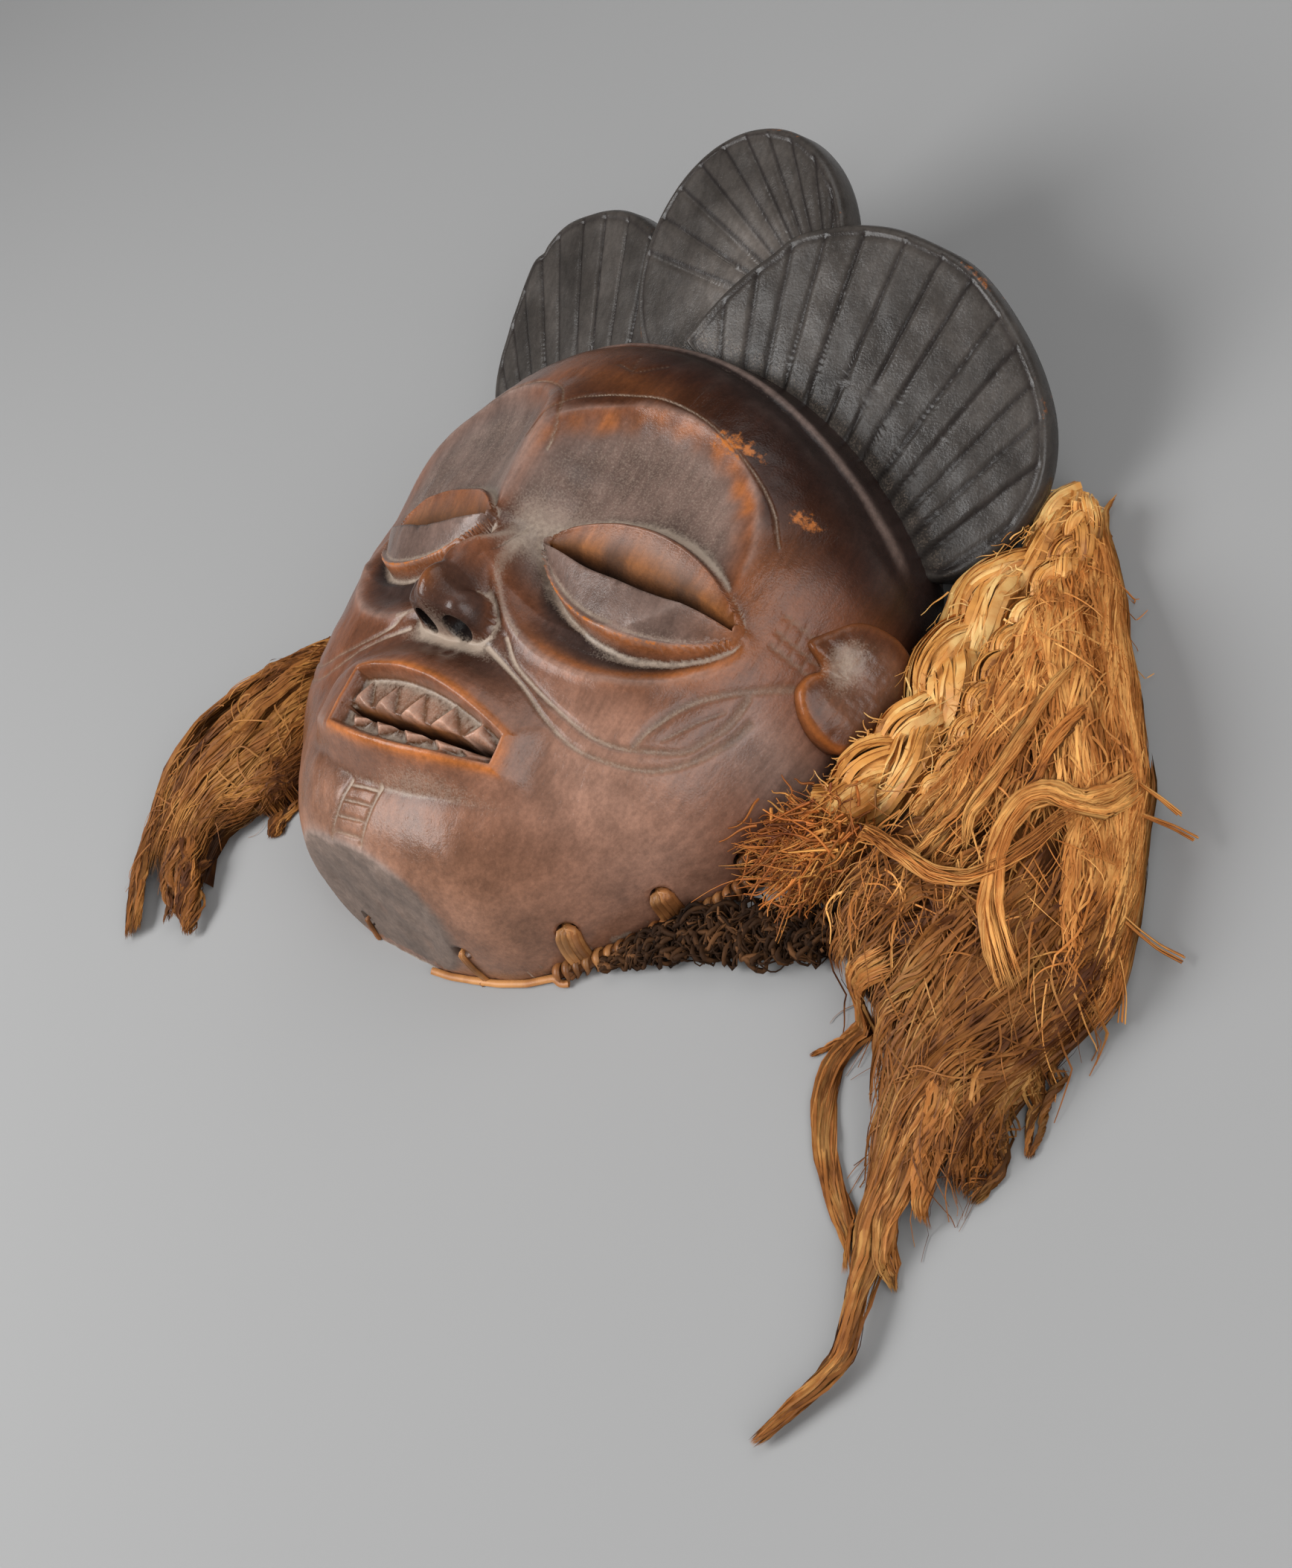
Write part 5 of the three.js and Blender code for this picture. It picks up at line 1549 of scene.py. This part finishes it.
LOWER_LINES = [
    ([(194, 109), (200, 94), (205, 79), (206, 65), (203, 52), (201, 40), (201, 30), (203, 19)],
     (6, 6, 6, 5, 4, 3, 2.4, 1.2)),
    ([(201, 97), (204, 85), (206, 73), (203, 61), (201, 49), (198, 36), (197, 24), (198, 12)],
     (5, 5, 5, 5, 4, 3, 2.4, 1.2)),
    ([(197, 96), (200, 79), (199, 62), (195, 49), (191, 36), (190, 22), (191, 4)],
     (7, 7, 6, 5, 4, 2.6, 1.2)),
    ([(190, 97), (193, 81), (191, 64), (187, 50), (184, 37), (182, 23), (184, 8), (188, -6)],
     (7, 7, 6, 5, 4, 3.4, 2.6, 1.6)),
    ([(183, 88), (184, 73), (181, 58), (178, 43), (176, 30), (178, 15), (182, 2), (186, -12),
      (191, -22)], (7, 6, 6, 5, 4.5, 4, 3, 2.6, 2)),
    ([(181, 74), (176, 63), (172, 49), (170, 36), (175, 23)], 6),
    ([(180, 80), (168, 73), (157, 62), (153, 51), (153, 41)], 8)]
# Lines that lie in the shadow of the plait: their fibres are drawn darker, as painted shadow.
SHADED_LINES = [
    ([(176, 86), (161, 78), (151, 68), (144, 58), (140, 48)], 9),
    ([(160, 92), (150, 84), (141, 74), (134, 64)], 8),
    ([(182, 90), (176, 76), (170, 64), (163, 52), (158, 42)], 10)]
HANGING_LINES = [
    ([(163, 56), (153, 47), (147, 38), (146, 29), (148, 22), (152, 15), (158, 8), (164, 2),
      (171, -3), (178, -8), (185, -16)], (3, 3, 3.2, 3.2, 3, 2.6, 2.2, 2, 2, 1.6, 1.2)),
    ([(180, 24), (182, 10), (183, -2), (188, -10), (190, -18), (193.5, -27), (195.5, -34),
      (193.5, -41), (189, -51), (184, -62)], (4, 4, 3.4, 3, 2.6, 2.4, 2.4, 2, 1.8, 1)),
    ([(188, 30), (187, 14), (187, 0), (191, -9), (196, -14)], (4, 3.6, 3, 2, 0.6)),
    ([(190, 34), (191, 20), (193, 12), (195, 3)], (4, 3.4, 2.6, 0.8)),
    ([(196, 42), (199, 30), (201, 22), (201, 13)], (3.4, 3.4, 3.4, 1.2)),
    ([(203, 52), (206, 38), (209, 29)], (3, 2, 0.8)),
    ([(152, 50), (148, 41), (144, 35), (138, 28)], (2.4, 1.6, 1.2, 0.4))]
HANGING_COUNTS = [130, 180, 90, 80, 90, 50, 40]
# The locks that lie on top: line, spread, number of fibres and how they lie.
LOCKS = [
    ([(193, 126), (192, 117), (191, 110), (187, 107), (182, 107), (178, 103), (177, 95), (179, 85),
      (184, 74), (191, 66), (197, 60)], 3.2, 90,
     dict(level=(1.0, 1.1), width=0.55, hue=(0.6, 1.0), gather=12, steps=34, lift=1.5,
          ragged=0.1)),
    ([(97, 72), (105, 76), (116, 80), (132, 83), (154, 79), (166, 77), (175, 79), (181, 85),
      (185, 94), (188, 105), (189, 113)], (3.2, 2.6, 2, 1.8, 1.6, 1.6, 1.6), 54,
     dict(level=(1.02, 1.08), width=0.28, wave=1.2, hue=(0.4, 0.9), steps=40, lift=2.0,
          ragged=0.18)),
    ([(165, 146), (165, 132), (166, 117), (166, 106), (165, 95), (170, 85)], 2.0, 50,
     dict(level=(1.0, 1.06), width=0.5, hue=(0.6, 1.0), steps=26)),
    ([(174, 134), (175, 124), (177, 110), (176, 102)], 2.6, 50,
     dict(level=(1.0, 1.05), width=0.5, wave=0.6, hue=(0.3, 0.55), ragged=0.1)),
    ([(162, 105), (160, 93), (157, 83), (154, 73)], 3.0, 50,
     dict(level=(1.0, 1.05), width=0.42, hue=(0.3, 0.8)))]
LOCK_USUAL = dict(wave=0.8, gather=10, steps=22, lift=1.0, taper=0.3, ragged=0.2, sides=3)
# Single ends that stand out past the hair's edge.
LOOSE_ENDS = [
    [(191, 124, 14), (197, 123, 12), (202, 122, 9)],
    [(196, 116, 14), (203, 117, 10), (208, 117, 7)],
    [(200, 92, 14), (207, 90, 9), (213, 89, 5), (219, 89, 3)],
    [(203, 86, 14), (208, 80, 9), (211, 74, 5), (213, 68, 3)]]


def hair_upper():
    upper = Fibres()
    upper.add_mesh(*heap_mesh(HAIR_LEFT[:13], 0.74, 4), *CORE_TONE)
    drape_lines(upper, UPPER_LINES, 380, HAIR_LEFT, 100, level=(0.66, 1.04), hue=(0.35, 1.0),
                wave=1.3, gather=15, body=1.5)
    tangle(upper, HAIR_LEFT, 420, 66, 188, -1.0, 150, reach=26)
    return upper.build("hair_left_upper", RAFFIA)


def hair_lower():
    lower = Fibres()
    lower.add_mesh(*heap_mesh(HAIR_LEFT[8:15], 0.72, 5), *CORE_TONE)
    drape_lines(lower, LOWER_LINES, 360, HAIR_LEFT, 200, level=(0.36, 1.05), wave=1.7,
                hue=(0.0, 0.7), gather=24, body=2.0, dim=0.47)
    # Painted shadow under the plait.
    drape_lines(lower, SHADED_LINES, 300, HAIR_LEFT, 220, level=(0.55, 0.98), wave=1.7,
                hue=(0.0, 0.5), gather=20, body=1.9, dim=0.5)
    drape_lines(lower, HANGING_LINES, HANGING_COUNTS, HAIR_LEFT, 240, level=(0.8, 1.05), wave=1.1,
                hue=(0.2, 0.8), gather=14, steps=24, lift=0.4, taper=0.3, ragged=0.05, hold=False,
                body=1.4, dim=0.72)
    tangle(lower, HAIR_LEFT, 240, 22, 84, -1.45, 250, (0.1, 0.8), 30, 0.55)
    return lower.build("hair_left_lower", RAFFIA)


def hair_locks():
    locks = Fibres()
    for number, (line, spread, count, how) in enumerate(LOCKS):
        drape(locks, line, spread, count, HAIR_LEFT, 301 + number, **{**LOCK_USUAL, **how})
    strands, steps = 5, 14
    for number, line in enumerate(LOOSE_ENDS):
        path = resample(line, steps)[None]
        apart = np.random.default_rng(400 + number).normal(0, 0.5, (strands, 1, 3)) * [1, 1, 0.3]
        locks.add(path + apart * np.linspace(0.6, 1.2, steps)[None, :, None], 0.26, 0.15,
                  np.linspace(0.4, 0.9, strands), np.full(strands, 0.9), 3)
    return locks.build("hair_left_locks", RAFFIA)


TUFT_LINES = [
    ([(-104, 92), (-116, 78), (-129, 64), (-141, 51), (-149, 40), (-151, 28), (-152, 16),
      (-149, 2), (-145, -10), (-138, -22)], 6),
    ([(-102, 80), (-112, 64), (-121, 50), (-130, 36), (-137, 22), (-139, 8), (-137, -6),
      (-132, -16)], 8),
    ([(-99, 72), (-105, 58), (-110, 43), (-116, 31), (-122, 18), (-124, 6), (-120, -6),
      (-112, -16)], 8),
    ([(-96, 64), (-98, 49), (-101, 37), (-107, 27), (-113, 18), (-118, 9)], 6),
    ([(-95, 60), (-96, 48), (-97, 36), (-99, 27), (-97, 19)], 4)]
TUFT_ENDS = [
    ([(-149, 0), (-146, -12), (-140, -22), (-133, -29), (-126, -36)], (4, 5, 5, 4.6, 3.4)),
    ([(-126, 0), (-120, -10), (-114, -18), (-109, -23)], (6, 8, 8, 6)),
    ([(-116, -4), (-110, -14), (-105, -21), (-102, -27)], (6, 6, 4, 2)),
    ([(-100, 38), (-101, 28), (-99, 20), (-96, 15)], (4, 4.4, 4.4, 3))]


def tuft_right():
    tuft = Fibres()
    tuft.add_mesh(*heap_mesh(TUFT_RIGHT[:10], 0.72, 4), *CORE_TONE)
    drape_lines(tuft, TUFT_LINES, 420, TUFT_RIGHT, 500, level=(0.6, 1.04), wave=1.4,
                hue=(0.1, 0.95), gather=18, body=1.7, dim=0.72)
    drape_lines(tuft, TUFT_ENDS, 150, TUFT_RIGHT, 520, level=(0.8, 1.05), wave=1.2,
                hue=(0.1, 0.8), gather=14, steps=20, lift=0.3, taper=0.3, ragged=0.08, hold=False,
                body=1.5, dim=0.75)
    tangle(tuft, TUFT_RIGHT, 140, -6, 84, -1.9, 550, (0.2, 1.0), 22, 0.75)
    return tuft.build("tuft_fibre", DARK_RAFFIA)


BRAID_STRANDS = 3


def braid(fibres, path, half, flat, pitch, seed, hue=(0.2, 1.0), per_strand=42, start=0.0,
          fuzz=150):
    """Three loose strands of flat fibre that cross over one another along a path of (x, y, z).

    half is the half width at places along it, flat its thickness, pitch the length of one round
    of the strands, and fuzz the number of loose ends.
    """
    random = np.random.default_rng(seed)
    steps = 120
    one_each = (per_strand, 1)
    line = resample(path, steps)
    half = stretch(half, steps)
    far = run_length(line)
    tangent, side, up = frame_along(line)
    for strand in range(BRAID_STRANDS):
        phase = (2 * np.pi * (far / pitch + strand / BRAID_STRANDS) + start
                 + 0.35 * np.sin(far / 17 + strand))
        centre = (line + side * (0.50 * half * np.sin(phase))[:, None]
                  + up * (flat * 0.42 * np.sin(2 * phase))[:, None])
        run = unit(np.gradient(centre, axis=0))
        across = unit(np.cross(run, up))
        rise = np.cross(across, run)
        ring = (random.permutation(per_strand) / per_strand * 1.5 - 0.25) * np.pi
        wander = 0.30 * np.sin(far[None] * random.uniform(0.05, 0.16, one_each)
                               + random.uniform(0, 6, one_each))
        twist = ring[:, None] + wander
        out = random.uniform(0.84, 1.10, one_each)
        wide, high = 0.56 * half[None], flat * 0.48
        paths = (centre[None] + across[None] * (out * wide * np.cos(twist))[..., None]
                 + rise[None] * (out * high * np.sin(twist))[..., None])
        paths = paths + 0.16 * np.sin(far[None, :, None]
                                      * random.uniform(0.2, 0.9, (per_strand, 1, 3))
                                      + random.uniform(0, 6, (per_strand, 1, 3)))
        normal = (across[None] * (np.cos(twist) / wide)[..., None]
                  + rise[None] * (np.sin(twist) / high)[..., None])
        broad = random.uniform(0, 1, one_each) < 0.3
        width = np.where(broad, random.uniform(0.9, 1.5, one_each),
                         random.uniform(0.35, 0.7, one_each)) * (0.55 + 0.45 * half / 12)[None]
        tone = np.clip(random.uniform(*hue, per_strand), 0, 1)
        # Painted shade: fibres darker where a strand dips under the others and on its underside.
        shade = 0.42 + 0.60 * smooth(-1.2, 0.9, np.sin(2 * phase)[None] + 0.9 * np.sin(twist))
        fibres.add(paths, width, 0.3, tone, shade, 2, facing=normal,
                   roll=random.uniform(-0.35, 0.35, one_each))
        # A dark core under the strands, painted dark as the shade between them.
        core = tube(centre, np.minimum(0.40 * half, flat * 0.40), 8)
        fibres.add_mesh(*core, 0.1, 0.4)
    one_each = (fuzz, 1)
    at = random.integers(2, steps - 2, fuzz)
    root = (line[at] + side[at] * (half[at] * random.uniform(-1, 1, fuzz))[:, None]
            + up[at] * flat * random.uniform(0.2, 0.8, one_each))
    aim = tangent[at] * random.normal(3, 5, one_each) + side[at] * random.normal(0, 3.5, one_each)
    aim = aim + up[at] * random.uniform(-0.5, 2.5, one_each)
    t = np.linspace(0, 1, 9)[None, :, None]
    curl = np.sin(t * random.uniform(2, 7, (fuzz, 1, 3)) + random.uniform(0, 6, (fuzz, 1, 3)))
    stray = root[:, None] + aim[:, None] * t + 0.8 * t * curl
    stray[..., 2] = np.maximum(stray[..., 2], 0.5)
    thin = random.uniform(0.12, 0.34, one_each) * np.linspace(1, 0.4, 9)[None]
    fibres.add(stray, thin, thin, random.uniform(*hue, fuzz), random.uniform(0.7, 1.1, fuzz), 2)


def plait(name, *how, **more):
    fibres = Fibres()
    braid(fibres, *how, **more)
    return fibres.build(name, GOLD_FIBRE)


def plait_outer():
    path = [(119, 203, 6), (120, 190, 6), (119, 178, 8), (115, 163, 9), (115, 148, 9.5),
            (119, 135, 9.5), (121, 123, 9.5), (119, 110, 9.5), (113, 97, 9.5), (105, 87, 9.5)]
    return plait("plait_outer", path, [4.5, 6, 8, 10, 11.5, 12, 12, 12, 11.5, 10], 8.0, 72, 600,
                 per_strand=46, fuzz=260)


def plait_inner():
    path = [(128, 198, 10), (133, 186, 11), (135, 167, 14), (137, 152, 16), (139, 138, 18),
            (142, 127, 19), (144, 116, 19), (143, 104, 18), (139, 96, 17)]
    return plait("plait_inner", path, [4, 5, 6, 6.5, 7, 7, 6.5, 6, 5], 5.6, 30, 601, (0.1, 0.8),
                 30, 1.0, 320)


def plait_far():
    path = [(-118, 168, 5), (-114, 156, 7), (-117, 140, 7), (-119, 124, 7), (-117, 108, 7),
            (-113, 96, 7)]
    return plait("plait_far", path, [3, 7, 8, 8, 8, 6], 6.0, 48, 602, (0.1, 0.8), 26, fuzz=60)


def spill(random, count, x, y, z, heading, reach, rise):
    """Roots and runs of loose fibres.

    x, y, heading and rise are (mean, deviation), and z and reach are (least, most).
    """
    root = np.stack([random.normal(*x, count), random.normal(*y, count),
                     random.uniform(*z, count)], -1)
    heading = np.radians(random.normal(*heading, count))
    reach = random.uniform(*reach, count)
    aim = np.stack([np.cos(heading) * reach, np.sin(heading) * reach,
                    random.normal(*rise, count)], -1)
    return root[:, None], aim[:, None]


def plait_end():
    """The loosened end of the plait: crinkled fibre that spills towards the jaw."""
    end = Fibres()
    random = np.random.default_rng(700)
    # A dark ball under the fibres, painted dark as the shade in the gaps between them.
    end.add_mesh(*ball((114, 76, 10), (13, 12, 9), 0, 12, 20), 0.05, 0.35)
    count, steps = 1300, 9
    t = np.linspace(0, 1, steps)[None, :, None]
    thinner = np.linspace(1, 0.4, steps)[None]
    root, aim = spill(random, count, (114, 6.5), (79, 6), (5, 21), (-125, 45), (4, 15), (-1, 3))
    curl = random.uniform(0, 6.28, (count, 1, 3))
    paths = root + aim * t + 1.1 * t * np.sin(curl + t * random.uniform(2, 8, (count, 1, 1)))
    paths[..., 2] = np.maximum(paths[..., 2], 0.6)
    width = random.uniform(0.16, 0.75, (count, 1)) * thinner
    end.add(paths, width, width * 0.4, random.uniform(0.1, 1, count),
            random.uniform(0.3, 1.1, count), 3)
    count = 45
    root, aim = spill(random, count, (116, 4), (78, 5), (12, 20), (-172, 14), (14, 34), (-4, 3))
    bow = np.sin(np.pi * t) * random.normal(0, 1.6, (count, 1, 3))
    end.add(root + aim * t + bow, 0.24 * thinner, 0.14, random.uniform(0.4, 1, count),
            random.uniform(0.7, 1.1, count), 3)
    return end.build("plait_fray", RUST_FIBRE)


NET_CORDS, NET_STEPS = 60, 80
NET_LINE = [(60, 25, 3), (67, 30, 4), (76, 37, 5), (87, 45, 6), (98, 49, 6), (109, 53, 6),
            (119, 57, 6), (128, 60, 6)]


def netting():
    """Dark cords that cross each other in waves along the jaw."""
    net = Fibres()
    random = np.random.default_rng(800)
    base = resample(NET_LINE, NET_STEPS)
    _, side, _ = frame_along(base)
    t = np.linspace(0, 1, NET_STEPS)
    room = np.interp(t, [0, 0.15, 0.4, 0.7, 1], [2.0, 3.5, 8, 10, 7])
    for _ in range(NET_CORDS):
        turns, phase = random.uniform(2, 9), random.uniform(0, 6.28)
        shift = random.uniform(-0.7, 0.7)
        wave = np.sin(turns * 2 * np.pi * t + phase)
        lift = np.sin(turns * 2 * np.pi * t * 1.3 + phase * 2)
        path = base + side * (room * (shift + 0.4 * wave))[:, None]
        path[:, 2] += 3.0 * lift * np.minimum(room / 6, 1)
        path = path + 0.6 * np.sin(np.outer(t * random.uniform(40, 90), [1.0, 1.3, 0.8]) + phase)
        path[:, 2] = np.maximum(path[:, 2], 0.8)
        half = random.choice([0.25, 0.4, 0.85])
        net.add(path[None], half, half * 0.8, [random.uniform(0, 1)],
                [random.uniform(0.5, 1.15)], 4)
    return net.build("net_cords", DARK_CORD)


# Plan lines of the cord along the jaw rim and of the strip of cane under the chin.
RIM_CORD = [(47.5, 17.5), (55.5, 24.3), (62.8, 31.8), (70, 39.8), (78.3, 48.3), (86.5, 58.3),
            (90.5, 66)]
CHIN_CANE = [(2, 1.2), (10, 2.2), (19, 4.4), (28.5, 7), (38, 10.8), (46, 16), (49.5, 15.2),
             (52, 16.5)]
RIM_CORD_HEIGHT, RIM_CORD_RADIUS, RIM_CORE_RADIUS, RIM_CORD_PITCH = 2.7, 2.2, 1.9, 3.5


def rim_cord():
    """A cord along the jaw rim, bound round by a flat strip."""
    cord = Fibres()
    random = np.random.default_rng(810)
    line = resample([(x, y, RIM_CORD_HEIGHT) for x, y in RIM_CORD], 900)
    _, side, up = frame_along(line)
    far = run_length(line)
    angle = far / RIM_CORD_PITCH * 2 * np.pi + 1.5 * np.sin(far / 9)
    swell = RIM_CORD_RADIUS * (1 + 0.12 * np.sin(far / 5) + 0.08 * np.sin(far / 1.7))
    coil = line + (side * np.cos(angle)[:, None] + up * np.sin(angle)[:, None]) * swell[:, None]
    coil[:, 2] = np.maximum(coil[:, 2], 0.7)
    shade = 0.75 + 0.3 * np.sin(far / 3.1 + random.uniform(0, 6))
    cord.add(coil[None], 1.45, 0.6, [0.6], shade[None], 5)
    cord.add_mesh(*tube(line[::20], RIM_CORE_RADIUS, 8), 0.2, 0.5)
    return cord.build("rim_cord", STITCH_CORD)


def bare_wood(x, y):
    """The height of the wood without its features."""
    return np.minimum(dome(x, y), np.maximum(chin_cut(y), 0))


def over_wood(plan, lift):
    """Points that lie this far off the wood over a line of the plan."""
    x, y = plan.T
    step = 0.3
    dx = (bare_wood(x + step, y) - bare_wood(x - step, y)) / (2 * step)
    dy = (bare_wood(x, y + step) - bare_wood(x, y - step)) / (2 * step)
    normal = unit(np.stack([-dx, -dy, np.ones_like(dx)], -1))
    return np.stack([x, y, bare_wood(x, y)], -1) + normal * lift


# Where each stitch ends at the rim, how many cords it has and how thick they are.
STITCHES = [((-26.5, 2.4), 1, 0.7), ((22.0, 4.4), 1, 0.8), ((50.4, 18.4), 2, 1.7),
            ((74.6, 42.6), 2, 1.75), ((92.5, 65.5), 2, 1.3)]
STITCH_STEPS = 34
CANE_STITCH = 2


def stitch(number, hole, end, cords, radius):
    """Cords from a hole over the wood to the rim, each with two ridges that look like its ply."""
    x, y, z = hole
    out = outward_at(x, y)
    start, end = np.array([x, y]), np.array(end)
    plan = start + (end - start) * np.linspace(0, 1, 160)[:, None]
    surface = over_wood(plan, radius * 0.6)
    surface = surface[surface[:, 2] <= z + 1.5]
    inner = surface[:1] - out * np.array([[6.0], [3.0]])
    middle = resample(np.vstack([inner, surface]), STITCH_STEPS)
    side = unit(np.cross(np.gradient(middle, axis=0), out))
    thread = Fibres()
    for k in range(cords):
        path = middle + side * (k - (cords - 1) / 2) * radius * 1.8
        path[:, 2] = np.maximum(path[:, 2], radius * 0.7)
        grain = 0.8 + 0.25 * np.sin(np.linspace(0, 9, STITCH_STEPS) + 2 * k)
        thread.add(path[None], radius, radius * 0.8, [0.35 + 0.3 * k], grain[None], 10)
        for strip in (-0.5, 0.5):
            ridge = path + side * strip * radius + out * 0.15
            thread.add(ridge[None], radius * 0.55, radius * 0.95, [0.6 + 0.2 * k], grain[None], 6)
    if number == CANE_STITCH:
        cane = resample([(x, y, 1.3) for x, y in CHIN_CANE], 60)
        thread.add(cane[None], 1.3, 0.6, [1.0], [1.1], 6)
    return thread.build(f"stitch_cord_{number}", STITCH_CORD)


for make_piece, node in ((hair_upper, "hair_left"), (hair_lower, "hair_left"),
                         (hair_locks, "hair_left"), (tuft_right, "tuft_right"),
                         (plait_outer, "plait_left"), (plait_inner, "plait_left"),
                         (plait_far, "plait_right"), (plait_end, "plait_left_end"),
                         (netting, "netting"), (rim_cord, "netting")):
    stand_in(make_piece(), node)
for number, (hole, (end, cords, radius)) in enumerate(zip(HOLES, STITCHES), 1):
    stand_in(stitch(number, hole, end, cords, radius), f"stitch_{number}")


# Floor and light

FLOOR_HALF = 2500
# Each lamp: name, place and target in metres, size and power.
LIGHTS = [("key", (-0.55, -0.70, 0.85), (0, 0, 0.03), 0.80, 16),
          ("fill", (1.05, -0.10, 0.60), (0, 0, 0.02), 0.8, 8),
          ("top", (0.25, 0.70, 1.00), (0, 0, 0), 0.9, 4)]


def add_floor():
    corners = [(x * FLOOR_HALF, y * FLOOR_HALF, 0) for x, y in ((-1, -1), (1, -1), (1, 1), (-1, 1))]
    floor = make_mesh("floor", corners, [[[0, 1, 2, 3]]])
    material = bpy.data.materials.new("floor")
    material.use_nodes = True
    shader = material.node_tree.nodes["Principled BSDF"]
    shader.inputs["Base Color"].default_value = (0.34, 0.34, 0.34, 1)
    shader.inputs["Roughness"].default_value = 0.9
    floor.data.materials.append(material)


def add_light(name, place, target, size, power):
    data = bpy.data.lights.new(name, "AREA")
    data.shape = "SQUARE"
    data.size = size
    data.energy = power
    light = bpy.data.objects.new(name, data)
    light.location = place
    aim = Vector(target) - Vector(place)
    light.rotation_euler = aim.to_track_quat("-Z", "Y").to_euler()
    bpy.context.scene.collection.objects.link(light)


def add_world():
    world = bpy.data.worlds.new("world")
    world.use_nodes = True
    background = world.node_tree.nodes["Background"]
    background.inputs[0].default_value = (0.84, 0.84, 0.85, 1)
    background.inputs[1].default_value = 0.15
    bpy.context.scene.world = world


add_floor()
for light in LIGHTS:
    add_light(*light)
add_world()
bpy.context.scene.view_settings.view_transform = "Standard"
